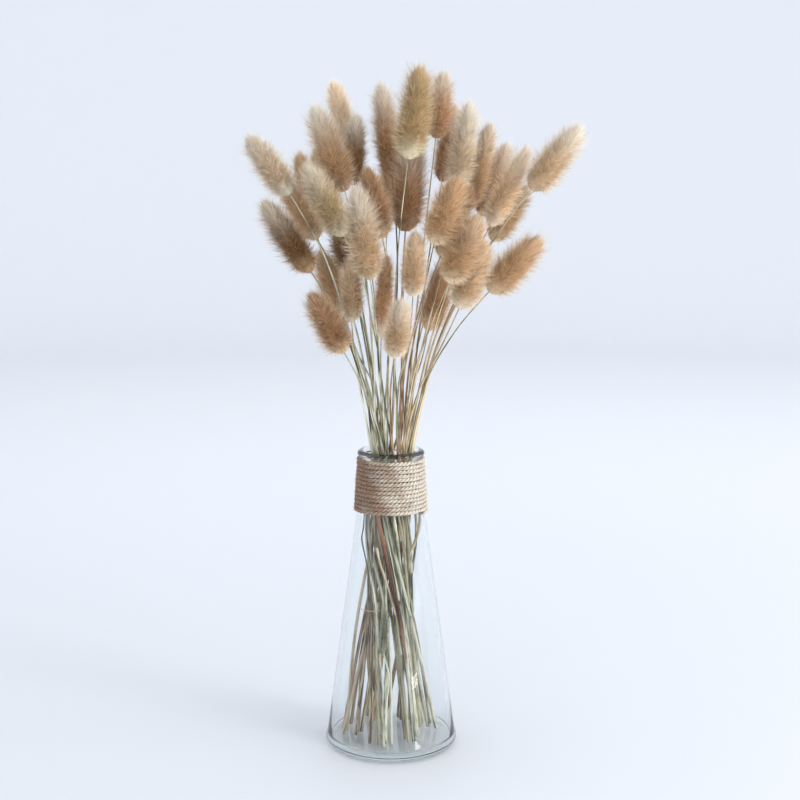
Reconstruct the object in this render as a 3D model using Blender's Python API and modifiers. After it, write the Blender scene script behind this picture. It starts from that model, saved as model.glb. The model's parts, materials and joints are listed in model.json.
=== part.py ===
"""A bunch of dried bunny-tail grass standing in a clear conical bottle vase.

The vase is one piece of thick clear glass with a narrow neck, and jute twine is wound round that neck.
Each stalk of grass is one piece from its cut foot to the tip of its soft flower head.  The stalks lean
across one another in the neck, so a head that nods to one side has its foot on the other side.

Run with: blender --background --python part.py
Lengths in the constants are millimetres; the scene is in metres with +Z up.
"""
import math
from collections import namedtuple

import bpy
import numpy as np
from mathutils import Matrix, Vector

MM = 0.001

# ---- vase: a straight cone of thick glass under a rounded lip ----
VASE_HEIGHT = 200.0
BASE_RADIUS = 44.0
HEEL_RADIUS = 5.0
NECK_RADIUS = 19.6
LIP_RADIUS = 22.1
LIP_HEIGHT = 4.4
SHOULDER_HEIGHT = 160.0
SHOULDER_RADIUS = 22.2
WALL = 2.7
FLOOR_THICKNESS = 6.0
INNER_HEEL_RADIUS = 6.0
HEEL_ROOM = 0.8
MOUTH_EDGE = 1.2
MOUTH_FLARE = 1.8
VASE_STEPS = 32

# ---- twine: turns laid one on another, from the shoulder up to the lip ----
TWINE_DIAMETER = 2.75
TWINE_TURNS = 13
TWINE_TOP_RADIUS = 22.0
TWINE_BOTTOM_RADIUS = 24.5
CREASE_SHARE = 0.3
TWINE_STEPS = 20

# ---- grass: wiry under the head, thicker where dry sheaths wrap the foot ----
STEM_RADIUS_AT_FOOT = 1.25
STEM_RADIUS_AT_NECK = 0.95
STEM_RADIUS_AT_HEAD = 0.65

# How far from the middle a stalk passes the rim and stands on the floor: the most, for the stalk that leans
# out furthest, and the share of that for one that stands upright.
FULL_REACH = 95.0
RIM_REACH = 13.5
RIM_SHARE_UPRIGHT = 0.25
FOOT_REACH = 33.0
FOOT_SHARE_UPRIGHT = 0.35

# The stalks cross in a spiral: each foot is this many degrees from straight across from its head.
FOOT_TWIST = -30.0
FOOT_TWIST_SPREAD = 20.0
FOOT_TILT_ROOM = 0.45
LEAN_PER_DEPTH = 0.33
BEND = 0.38
STRAIGHT_STATIONS = (0.0, 0.4, 0.75, 1.0)
BEND_STATIONS = (0.4, 0.75)

# A flower head's outline: how far up the head, and the share of its full width there.
HEAD_OUTLINE = ((0.02, 0.50), (0.13, 0.90), (0.36, 1.0), (0.66, 0.84), (0.90, 0.48), (1.0, 0.14))

# ---- room between pieces ----
GAP = 0.3
EASING_GAP = 0.55
EASING_ROUNDS = 200
EASING_STEP = 0.6
HEAD_YIELDS = np.array((0.35, 1.0, 0.35))
STEM_FOLLOWS_HEAD = (0.6, 0.3)
OPEN_ABOVE_RIM = 2.0
FREE_WAY_RADIUS = 5.3
FREE_WAY_DEPTH = 10.8
FREE_WAY_TOP = VASE_HEIGHT + 8.0

# Where the middle of each head hangs: to the side (+X), to the back (+Y) and up, its lean to the side in
# degrees, its length and its width, and the shade it has dried to.
Stalk = namedtuple("Stalk", "side depth height lean length width shade")

FRONT_ROW = (
    Stalk(-74, -45, 384, -35, 44, 17, "cream"),
    Stalk(-63, -50, 341, -33, 54, 18, "brown"),
    Stalk(-40, -46, 363, -28, 51, 18, "cream"),
    Stalk(-16, -72, 344, -8, 62, 20, "cream"),
    Stalk(-39, -46, 288, -28, 45, 18, "brown"),
    Stalk(5, -64, 286, 8, 40, 15, "tan"),
    Stalk(17, -54, 325, 2, 42, 14, "tan"),
    Stalk(32, -68, 357, 19, 46, 19, "tan"),
    Stalk(45, -58, 334, 23, 48, 20, "cream"),
    Stalk(51, -40, 317, 21, 47, 19, "tan"),
    Stalk(78, -32, 323, 43, 48, 20, "tan"),
    Stalk(15, -38, 416, 8, 58, 21, "brown"),
)
MIDDLE_ROW = (
    Stalk(-39, -6, 395, -20, 58, 20, "cream"),
    Stalk(-10, -26, 361, -13, 46, 17, "brown"),
    Stalk(-38, -2, 309, -20, 47, 18, "brown"),
    Stalk(-25, -26, 307, 0, 42, 14, "tan"),
    Stalk(-30, -16, 339, -12, 44, 17, "brown"),
    Stalk(-4, -34, 303, 4, 53, 12, "tan"),
    Stalk(-3, 24, 408, -7, 62, 17, "brown"),
    Stalk(12, 2, 373, 5, 62, 23, "brown"),
    Stalk(46, -14, 395, 8, 59, 16, "cream"),
    Stalk(41, -26, 350, 23, 48, 15, "cream"),
    Stalk(76, 2, 371, 26, 56, 16, "tan"),
    Stalk(104, -18, 389, 38, 51, 19, "tan"),
    Stalk(-59, 8, 356, -31, 44, 17, "tan"),
)
BACK_ROW = (
    Stalk(-55, 32, 366, -13, 58, 17, "brown"),
    Stalk(-34, 54, 420, -14, 47, 15, "tan"),
    Stalk(-24, 26, 395, 3, 47, 15, "brown"),
    Stalk(-1, 54, 374, 4, 48, 16, "tan"),
    Stalk(32, 26, 424, 7, 44, 16, "brown"),
    Stalk(39, 48, 400, 11, 54, 16, "brown"),
    Stalk(31, 40, 299, 15, 51, 18, "brown"),
    Stalk(59, 32, 385, 14, 58, 16, "tan"),
    Stalk(71, 60, 376, 21, 56, 18, "tan"),
    Stalk(80, 50, 354, 34, 46, 17, "brown"),
    Stalk(-46, 70, 376, -15, 50, 17, "tan"),
    Stalk(-22, 66, 336, -8, 48, 18, "brown"),
    Stalk(42, 72, 344, 16, 50, 18, "cream"),
    Stalk(16, 72, 416, 6, 48, 16, "tan"),
    Stalk(-37, 52, 300, -18, 46, 17, "tan"),
)
BUNCH = FRONT_ROW + MIDDLE_ROW + BACK_ROW

SHADES = {
    "cream": (0.70, 0.58, 0.40),
    "tan": (0.55, 0.40, 0.24),
    "brown": (0.40, 0.27, 0.15),
}
GLASS_COLOUR = (0.90, 0.94, 0.94)
TWINE_COLOUR = (0.52, 0.37, 0.22)


def clear_scene():
    """Remove whatever objects the file opened with."""
    for obj in list(bpy.data.objects):
        bpy.data.objects.remove(obj, do_unlink=True)


def make_collection(name):
    """Make the collection that holds the object."""
    collection = bpy.data.collections.new(name)
    bpy.context.scene.collection.children.link(collection)
    return collection


def make_material(name, colour, roughness, alpha=1.0, transmission=0.0):
    """Make a Principled material of one plain colour."""
    material = bpy.data.materials.new(name)
    material.use_nodes = True
    shader = material.node_tree.nodes["Principled BSDF"]
    shader.inputs["Base Color"].default_value = (*colour, 1.0)
    shader.inputs["Roughness"].default_value = roughness
    shader.inputs["Metallic"].default_value = 0.0
    shader.inputs["Alpha"].default_value = alpha
    shader.inputs["Transmission Weight"].default_value = transmission
    return material


def arc(centre, radius, start, end, count):
    """Points (radius, height) along an arc in the turning plane, angles in degrees."""
    angles = np.radians(np.linspace(start, end, count))
    return [(centre[0] + radius * math.cos(a), centre[1] + radius * math.sin(a)) for a in angles]


def turned(name, profile, steps, closed, collection, material):
    """Turn a profile of (radius, height) points, in millimetres, about Z."""
    count = len(profile)
    edges = [(i, i + 1) for i in range(count - 1)]
    if closed:
        edges.append((count - 1, 0))
    mesh = bpy.data.meshes.new(name)
    mesh.from_pydata([(r * MM, 0.0, z * MM) for r, z in profile], edges, [])
    obj = bpy.data.objects.new(name, mesh)
    collection.objects.link(obj)
    screw = obj.modifiers.new("Turn", "SCREW")
    screw.steps = steps
    screw.render_steps = steps
    screw.use_merge_vertices = True
    screw.merge_threshold = 0.00001
    screw.use_smooth_shade = True
    mesh.materials.append(material)
    return obj


def neck_outside(height):
    """Outer radius of the glass between the shoulder and the lip, where the twine sits."""
    share = (height - SHOULDER_HEIGHT) / (VASE_HEIGHT - LIP_HEIGHT - SHOULDER_HEIGHT)
    return SHOULDER_RADIUS + share * (NECK_RADIUS - SHOULDER_RADIUS)


def inside_floor_radius():
    """Radius of the flat of the inner floor, inside the curve that meets the wall."""
    return BASE_RADIUS - WALL - INNER_HEEL_RADIUS - HEEL_ROOM


def inside_radius(heights):
    """Inner radius of the glass at each height, from the floor up to the lip."""
    floor = inside_floor_radius()
    levels = (FLOOR_THICKNESS, FLOOR_THICKNESS + INNER_HEEL_RADIUS, SHOULDER_HEIGHT, VASE_HEIGHT - LIP_HEIGHT)
    radii = (floor, floor + INNER_HEEL_RADIUS, SHOULDER_RADIUS - WALL, NECK_RADIUS - WALL)
    return np.interp(heights, levels, radii)


def vase_profile():
    """Up the inside from the middle of the floor, over the lip, and down the outside to the middle."""
    lip_base = VASE_HEIGHT - LIP_HEIGHT
    lip_round = LIP_HEIGHT / 2
    inner_neck = NECK_RADIUS - WALL
    profile = [(0.0, FLOOR_THICKNESS)]
    profile += arc((inside_floor_radius(), FLOOR_THICKNESS + INNER_HEEL_RADIUS), INNER_HEEL_RADIUS, -90, -8, 3)
    profile.append((SHOULDER_RADIUS - WALL, SHOULDER_HEIGHT))
    profile.append((inner_neck, lip_base))
    profile.append((inner_neck + MOUTH_FLARE - MOUTH_EDGE, VASE_HEIGHT - MOUTH_EDGE))
    profile.append((inner_neck + MOUTH_FLARE, VASE_HEIGHT))
    profile += arc((LIP_RADIUS - lip_round, VASE_HEIGHT - lip_round), lip_round, 80, -80, 4)
    profile.append((NECK_RADIUS, lip_base - GAP))
    profile.append((SHOULDER_RADIUS, SHOULDER_HEIGHT))
    profile += arc((BASE_RADIUS - HEEL_RADIUS, HEEL_RADIUS), HEEL_RADIUS, 8, -90, 4)
    profile.append((0.0, 0.0))
    return profile


def twine_profile():
    """A sleeve round the neck whose outside rises and falls with every turn of the twine."""
    top = VASE_HEIGHT - LIP_HEIGHT - GAP
    bottom = SHOULDER_HEIGHT
    pitch = (top - bottom) / TWINE_TURNS
    outside = []
    for turn in range(TWINE_TURNS + 1):
        share = turn / TWINE_TURNS
        surface = TWINE_TOP_RADIUS + share * (TWINE_BOTTOM_RADIUS - TWINE_TOP_RADIUS)
        crease = surface - CREASE_SHARE * TWINE_DIAMETER
        outside.append((crease, top - turn * pitch))
        if turn < TWINE_TURNS:
            outside.append((surface, top - (turn + 0.5) * pitch))
    flats = math.cos(math.pi / TWINE_STEPS)
    inside = [((neck_outside(height) + GAP) / flats, height) for height in (bottom, top)]
    return outside + inside


def head_axis(stalk):
    """The way a head points, from its base to its tip."""
    to_side = math.tan(math.radians(stalk.lean))
    to_back = math.tan(math.radians(LEAN_PER_DEPTH * stalk.depth))
    return Vector((to_side, to_back, 1.0)).normalized()


def stem_route(stalk, twist):
    """Centre of the stem: straight from its foot up to the rim, then bending out to the head's base."""
    outward = Vector((stalk.side, stalk.depth, 0.0))
    share = min(1.0, outward.length / FULL_REACH)
    outward.normalize()
    rim = outward * RIM_REACH * (RIM_SHARE_UPRIGHT + (1 - RIM_SHARE_UPRIGHT) * share)
    rim.z = VASE_HEIGHT
    across = Matrix.Rotation(math.pi + math.radians(twist), 3, "Z") @ outward
    foot = across * FOOT_REACH * (FOOT_SHARE_UPRIGHT + (1 - FOOT_SHARE_UPRIGHT) * share)
    foot.z = FLOOR_THICKNESS + GAP + FOOT_TILT_ROOM
    axis = head_axis(stalk)
    head_base = Vector((stalk.side, stalk.depth, stalk.height)) - axis * stalk.length / 2
    reach = BEND * (head_base - rim).length
    first = rim + (rim - foot).normalized() * reach
    second = head_base - axis * reach
    route = [foot.lerp(rim, share) for share in STRAIGHT_STATIONS]
    for t in BEND_STATIONS:
        route.append(rim * (1 - t) ** 3 + first * 3 * t * (1 - t) ** 2
                     + second * 3 * t * t * (1 - t) + head_base * t ** 3)
    route.append(head_base)
    return route


def stalk_line(stalk, twist):
    """Points along one stalk, from foot to tip, and its radius at each, in millimetres."""
    route = stem_route(stalk, twist)
    heights = [point.z for point in route]
    levels = (0.0, VASE_HEIGHT, stalk.height)
    sizes = (STEM_RADIUS_AT_FOOT, STEM_RADIUS_AT_NECK, STEM_RADIUS_AT_HEAD)
    radii = list(np.interp(heights, levels, sizes))
    axis = head_axis(stalk)
    base = route[-1]
    for share, width in HEAD_OUTLINE:
        route.append(base + axis * share * stalk.length)
        radii.append(width * stalk.width / 2)
    return route, radii


def nearest_shares(start_a, end_a, start_b, end_b):
    """How far along each of two straight stretches, from 0 to 1, they come nearest to each other."""
    along_a = end_a - start_a
    along_b = end_b - start_b
    between = start_a - start_b
    aa = (along_a * along_a).sum(axis=1)
    bb = (along_b * along_b).sum(axis=1)
    ab = (along_a * along_b).sum(axis=1)
    ac = (along_a * between).sum(axis=1)
    bc = (along_b * between).sum(axis=1)
    share_a = np.clip((ab * bc - bb * ac) / np.maximum(aa * bb - ab * ab, 1e-9), 0.0, 1.0)
    share_b = np.clip((ab * share_a + bc) / bb, 0.0, 1.0)
    share_a = np.clip((ab * share_b - ac) / aa, 0.0, 1.0)
    return share_a[:, None], share_b[:, None]


def crowding_push(lines, radii, pairs):
    """The push on every point that parts stretches of different stalks lying too close."""
    i, j, m, n = pairs
    start_a, end_a, start_b, end_b = lines[i, j], lines[i, j + 1], lines[m, n], lines[m, n + 1]
    reach_a = np.linalg.norm(end_a - start_a, axis=1) / 2 + np.maximum(radii[i, j], radii[i, j + 1])
    reach_b = np.linalg.norm(end_b - start_b, axis=1) / 2 + np.maximum(radii[m, n], radii[m, n + 1])
    apart = np.linalg.norm((start_a + end_a - start_b - end_b) / 2, axis=1)
    near = apart < reach_a + reach_b + EASING_GAP
    i, j, m, n = i[near], j[near], m[near], n[near]
    start_a, end_a, start_b, end_b = start_a[near], end_a[near], start_b[near], end_b[near]
    share_a, share_b = nearest_shares(start_a, end_a, start_b, end_b)
    between = start_a + share_a * (end_a - start_a) - start_b - share_b * (end_b - start_b)
    distance = np.linalg.norm(between, axis=1)
    room_a = radii[i, j] + share_a[:, 0] * (radii[i, j + 1] - radii[i, j])
    room_b = radii[m, n] + share_b[:, 0] * (radii[m, n + 1] - radii[m, n])
    short = np.maximum(room_a + room_b + EASING_GAP - distance, 0.0)
    push = between / np.maximum(distance, 1e-6)[:, None] * short[:, None] / 2
    push_a = push / (share_a ** 2 + (1 - share_a) ** 2)
    push_b = push / (share_b ** 2 + (1 - share_b) ** 2)
    total = np.zeros_like(lines)
    np.add.at(total, (i, j), push_a * (1 - share_a))
    np.add.at(total, (i, j + 1), push_a * share_a)
    np.add.at(total, (m, n), -push_b * (1 - share_b))
    np.add.at(total, (m, n + 1), -push_b * share_b)
    return total


def keep_in_glass(lines, radii):
    """Draw every point below the lip in until it is clear of the wall."""
    sides = lines[..., :2]
    inside = lines[..., 2] < VASE_HEIGHT + OPEN_ABOVE_RIM
    out = np.linalg.norm(sides, axis=2)
    limit = inside_radius(lines[..., 2]) - radii - EASING_GAP
    scale = np.where(inside & (out > limit), limit / np.maximum(out, 1e-6), 1.0)
    lines[..., :2] = sides * scale[..., None]


def ease_apart(lines, radii):
    """Move stalks that cross or touch aside until each is clear of its neighbours.

    Stems flex, and a head moves as one, more to the front or back than to the side.  One way down the
    back of the neck is kept free, by a line that nothing moves.
    """
    count, points = radii.shape
    base = points - len(HEAD_OUTLINE) - 1
    free_way = np.zeros((1, points, 3))
    free_way[0, :, 1] = FREE_WAY_DEPTH
    free_way[0, :, 2] = np.linspace(FLOOR_THICKNESS, FREE_WAY_TOP, points)
    all_lines = np.concatenate([lines, free_way])
    all_radii = np.concatenate([radii, np.full((1, points), FREE_WAY_RADIUS)])
    stretch = np.arange(points - 1)
    owner = np.repeat(np.arange(count + 1), points - 1)
    place = np.tile(stretch, count + 1)
    first, second = np.triu_indices(len(owner), 1)
    other = owner[first] != owner[second]
    first, second = first[other], second[other]
    pairs = (owner[first], place[first], owner[second], place[second])
    heights = lines[:, 0, 2].copy()
    for _ in range(EASING_ROUNDS):
        push = crowding_push(all_lines, all_radii, pairs)[:count]
        push[:, base:] = push[:, base:].sum(axis=1, keepdims=True) * HEAD_YIELDS
        for below, follow in enumerate(STEM_FOLLOWS_HEAD, start=1):
            push[:, base - below] += follow * push[:, base]
        push[:, :base, 2] = 0.0
        all_lines[:count] += EASING_STEP * push
        keep_in_glass(all_lines[:count], radii)
        all_lines[:count, 0, 2] = heights
    return all_lines[:count]


def make_stalk(name, line, radii, collection, material):
    """One stalk: a round tube through the line's points that swells into the flower head."""
    curve = bpy.data.curves.new(name, "CURVE")
    curve.dimensions = "3D"
    curve.bevel_depth = MM
    curve.bevel_resolution = 2
    curve.use_fill_caps = True
    curve.twist_mode = "MINIMUM"
    spline = curve.splines.new("POLY")
    spline.points.add(len(line) - 1)
    for point, place, radius in zip(spline.points, line, radii):
        point.co = (*(place * MM), 1.0)
        point.radius = radius
    spline.use_smooth = True
    curve.materials.append(material)
    obj = bpy.data.objects.new(name, curve)
    collection.objects.link(obj)
    return obj


def make_bunch(collection, materials):
    """All the stalks, laid by the bunch's plan and then eased apart."""
    rng = np.random.default_rng(7)
    twists = FOOT_TWIST + rng.uniform(-FOOT_TWIST_SPREAD, FOOT_TWIST_SPREAD, len(BUNCH))
    stalks = [stalk_line(stalk, twist) for stalk, twist in zip(BUNCH, twists)]
    lines = np.array([[tuple(point) for point in route] for route, _ in stalks])
    radii = np.array([sizes for _, sizes in stalks])
    lines = ease_apart(lines, radii)
    for number, stalk in enumerate(BUNCH, start=1):
        name = f"bunny_tail_{number:02d}"
        make_stalk(name, lines[number - 1], radii[number - 1], collection, materials[stalk.shade])


def main():
    clear_scene()
    collection = make_collection("bunny_tail_grass_in_bottle_vase")
    glass = make_material("clear_glass", GLASS_COLOUR, 0.03, alpha=0.35, transmission=1.0)
    twine = make_material("jute_twine", TWINE_COLOUR, 0.9)
    shades = {name: make_material(f"dried_grass_{name}", colour, 0.85) for name, colour in SHADES.items()}
    turned("glass_vase", vase_profile(), VASE_STEPS, False, collection, glass)
    turned("twine_wrap", twine_profile(), TWINE_STEPS, True, collection, twine)
    make_bunch(collection, shades)


main()
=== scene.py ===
"""A bunch of dried bunny-tail grass in a clear bottle vase whose neck is wound with jute twine.

Each stalk is dressed as a wiry stem, the dry leaf sheath round its foot and a soft head of fine hairs.
The glass is one turned body, and the twine is laid up from two twisted plies.  Lengths are metres unless
a comment or a docstring says millimetres, and colours are written as they look, from 0 to 1.
"""

import json
import logging
import math
from dataclasses import dataclass, field
from enum import Enum
from typing import Dict, List, Optional, Sequence, Tuple, Union

import bpy
import numpy as np
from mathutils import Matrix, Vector

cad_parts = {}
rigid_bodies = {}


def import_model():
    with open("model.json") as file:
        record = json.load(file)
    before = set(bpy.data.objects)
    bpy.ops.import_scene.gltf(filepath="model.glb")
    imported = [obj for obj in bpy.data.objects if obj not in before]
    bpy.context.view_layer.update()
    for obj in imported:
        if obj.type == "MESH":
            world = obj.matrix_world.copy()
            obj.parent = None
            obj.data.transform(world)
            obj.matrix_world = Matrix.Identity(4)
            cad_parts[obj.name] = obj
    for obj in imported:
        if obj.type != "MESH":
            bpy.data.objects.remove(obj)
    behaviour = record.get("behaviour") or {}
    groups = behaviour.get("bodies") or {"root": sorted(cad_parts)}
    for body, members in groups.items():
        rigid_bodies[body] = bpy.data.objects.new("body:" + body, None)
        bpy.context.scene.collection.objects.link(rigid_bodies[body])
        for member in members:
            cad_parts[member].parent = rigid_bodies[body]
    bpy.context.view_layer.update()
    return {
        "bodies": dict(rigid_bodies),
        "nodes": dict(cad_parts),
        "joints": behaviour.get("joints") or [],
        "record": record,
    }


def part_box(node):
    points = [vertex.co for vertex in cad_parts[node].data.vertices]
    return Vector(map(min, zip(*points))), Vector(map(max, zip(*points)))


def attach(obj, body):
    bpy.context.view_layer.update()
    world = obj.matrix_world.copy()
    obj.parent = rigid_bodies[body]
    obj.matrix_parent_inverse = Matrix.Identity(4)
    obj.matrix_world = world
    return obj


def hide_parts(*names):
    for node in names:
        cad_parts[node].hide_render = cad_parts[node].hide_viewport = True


LOG = logging.getLogger("bunny_tail_vase")
MM = 0.001
BODY = "root"
BAKE_MAP = "OFBake"
TURN = 2 * math.pi
STALK_SEED = 100

Colour = Tuple[float, float, float]
Curve = Tuple[Tuple[float, float], ...]
Number = Union[int, float]


def linear(colour: Colour) -> Tuple[float, float, float, float]:
    """Turn a colour as it looks into the linear values that a shader takes.

    Args:
        colour: red, green and blue from 0 to 1, as they look.

    Returns:
        Linear red, green and blue, and an alpha of 1.
    """
    parts = [c / 12.92 if c <= 0.04045 else ((c + 0.055) / 1.055) ** 2.4 for c in colour]
    return (parts[0], parts[1], parts[2], 1.0)


# ---------------------------------------------------------------- shader maths


class Signal:
    """A node's output that takes part in Python arithmetic."""

    def __init__(self, shader: "Shader", socket: bpy.types.NodeSocket) -> None:
        """Wrap one output socket of a shader's node."""
        self.shader = shader
        self.socket = socket

    def _math(self, operation: str, first: "Part", second: "Part", clamp: bool = False) -> "Signal":
        """Add one Math node.

        Args:
            operation: the Math node's operation.
            first: its first value.
            second: its second value.
            clamp: whether the result is held between 0 and 1.

        Returns:
            The node's result.
        """
        node = self.shader.node("ShaderNodeMath", {"operation": operation, "use_clamp": clamp},
                                {0: first, 1: second})
        return Signal(self.shader, node.outputs[0])

    def __add__(self, other: "Part") -> "Signal":
        """This plus another."""
        return self._math("ADD", self, other)

    def __radd__(self, other: "Part") -> "Signal":
        """Another plus this."""
        return self._math("ADD", other, self)

    def __sub__(self, other: "Part") -> "Signal":
        """This less another."""
        return self._math("SUBTRACT", self, other)

    def __rsub__(self, other: "Part") -> "Signal":
        """Another less this."""
        return self._math("SUBTRACT", other, self)

    def __mul__(self, other: "Part") -> "Signal":
        """This times another."""
        return self._math("MULTIPLY", self, other)

    def __rmul__(self, other: "Part") -> "Signal":
        """Another times this."""
        return self._math("MULTIPLY", other, self)

    def clamped(self) -> "Signal":
        """This held between 0 and 1."""
        return self._math("ADD", self, 0.0, clamp=True)

    def step(self, low: Number, high: Number) -> "Signal":
        """A smooth rise from 0 to 1 as this goes from one value to another.

        Args:
            low: where the rise starts.
            high: where the rise ends.

        Returns:
            A share from 0 to 1.
        """
        node = self.shader.node("ShaderNodeMapRange", {"interpolation_type": "SMOOTHSTEP"},
                                {"Value": self, "From Min": low, "From Max": high})
        return Signal(self.shader, node.outputs[0])


Part = Union[Signal, Number, Sequence[float]]


class Shader:
    """One material's nodes, ending in a Principled BSDF."""

    def __init__(self, name: str) -> None:
        """Start a material with nothing but its Principled BSDF and its output.

        Args:
            name: the material's name.
        """
        self.material = bpy.data.materials.new(name)
        self.material.use_nodes = True
        self.tree = self.material.node_tree
        self.principled = self.tree.nodes["Principled BSDF"]
        self.output = self.tree.nodes["Material Output"]

    def node(self, kind: str, settings: Optional[Dict[str, object]] = None,
             values: Optional[Dict[Union[str, int], Part]] = None) -> bpy.types.Node:
        """Add a node, set it up and give its sockets their values or links.

        Args:
            kind: the node's type.
            settings: the node's own settings, such as its operation.
            values: a value or a signal for each named or numbered input.

        Returns:
            The node.
        """
        node = self.tree.nodes.new(kind)
        for key, setting in (settings or {}).items():
            setattr(node, key, setting)
        for key, value in (values or {}).items():
            self.feed(self.find(node, key), value)
        return node

    @staticmethod
    def find(node: bpy.types.Node, key: Union[str, int]) -> bpy.types.NodeSocket:
        """Find an input of a node.

        Args:
            node: the node.
            key: the input's number, its identifier or its name.

        Returns:
            The input.
        """
        if isinstance(key, int):
            return node.inputs[key]
        for socket in node.inputs:
            if socket.identifier == key:
                return socket
        return node.inputs[key]

    def feed(self, socket: bpy.types.NodeSocket, value: Part) -> None:
        """Link a signal to a socket, or set the socket to a plain value.

        Args:
            socket: the input that is fed.
            value: what it is fed.
        """
        if isinstance(value, Signal):
            self.tree.links.new(value.socket, socket)
        else:
            socket.default_value = value

    def named(self, attribute: str) -> Signal:
        """A number that the mesh carries at every point."""
        node = self.node("ShaderNodeAttribute", {"attribute_name": attribute})
        return Signal(self, node.outputs["Fac"])

    def place(self, attribute: str) -> Signal:
        """A place on the skin that the mesh carries at every point."""
        node = self.node("ShaderNodeAttribute", {"attribute_name": attribute})
        return Signal(self, node.outputs["Vector"])

    def noise(self, at: Signal, scale: float, detail: float = 2.0, roughness: float = 0.5) -> Signal:
        """Soft noise about a middle of one half.

        Args:
            at: the place it is read at.
            scale: how many blotches fit in one unit.
            detail: how many finer octaves it has.
            roughness: how strong those are.

        Returns:
            A value from 0 to 1.
        """
        node = self.node("ShaderNodeTexNoise", {"noise_dimensions": "3D"},
                         {"Vector": at, "Scale": scale, "Detail": detail, "Roughness": roughness})
        return Signal(self, node.outputs["Fac"])

    def stretched(self, at: Signal, by: Sequence[float]) -> Signal:
        """A place scaled by its own factor along each axis."""
        node = self.node("ShaderNodeVectorMath", {"operation": "MULTIPLY"}, {0: at, 1: tuple(by)})
        return Signal(self, node.outputs[0])

    def blend(self, first: Part, second: Part, share: Part, way: str = "MIX") -> Signal:
        """Mix two colours.

        Args:
            first: the colour at a share of 0, as a linear RGBA or a signal.
            second: the colour at a share of 1.
            share: how much of the second shows.
            way: the blend mode.

        Returns:
            The mixed colour.
        """
        node = self.node("ShaderNodeMix", {"data_type": "RGBA", "blend_type": way},
                         {"Factor_Float": share, "A_Color": first, "B_Color": second})
        return Signal(self, [s for s in node.outputs if s.identifier == "Result_Color"][0])

    def ramp(self, share: Signal, stops: Sequence[Tuple[float, Colour]]) -> Signal:
        """A colour that changes with a share.

        Args:
            share: where to read the ramp, from 0 to 1.
            stops: each stop's place and colour.

        Returns:
            The colour.
        """
        node = self.node("ShaderNodeValToRGB", None, {"Fac": share})
        stones = node.color_ramp.elements
        while len(stones) < len(stops):
            stones.new(0.5)
        for stone, (place, colour) in zip(stones, stops):
            stone.position = place
            stone.color = linear(colour)
        return Signal(self, node.outputs["Color"])

    def relief(self, height: Signal, strength: float, distance: float) -> None:
        """Feed a fine relief to the surface's normal.

        Args:
            height: the relief's height, from 0 to 1.
            strength: how much of it shows.
            distance: how high it stands.
        """
        node = self.node("ShaderNodeBump", None,
                         {"Height": height, "Strength": strength, "Distance": distance})
        self.tree.links.new(node.outputs["Normal"], self.principled.inputs["Normal"])

    def dress(self, **values: Part) -> bpy.types.Material:
        """Set the Principled BSDF, where base_color stands for Base Color and so on.

        Args:
            **values: a value or a signal for each of its inputs.

        Returns:
            The finished material.
        """
        for key, value in values.items():
            name = " ".join(word.upper() if word == "ior" else word.capitalize() for word in key.split("_"))
            self.feed(self.principled.inputs[name], value)
        return self.material

    def let_light_through(self, colour: Colour, share: Part) -> None:
        """Mix in light that shines through from behind, as through dry hairs and leaf.

        Args:
            colour: the colour of that light.
            share: how much of it shows.
        """
        glow = self.node("ShaderNodeBsdfTranslucent", None, {"Color": linear(colour)})
        mixed = self.node("ShaderNodeMixShader", None, {"Fac": share})
        self.tree.links.new(self.principled.outputs[0], mixed.inputs[1])
        self.tree.links.new(glow.outputs[0], mixed.inputs[2])
        self.tree.links.new(mixed.outputs[0], self.output.inputs["Surface"])


# ---------------------------------------------------------------- mesh drafts


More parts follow.
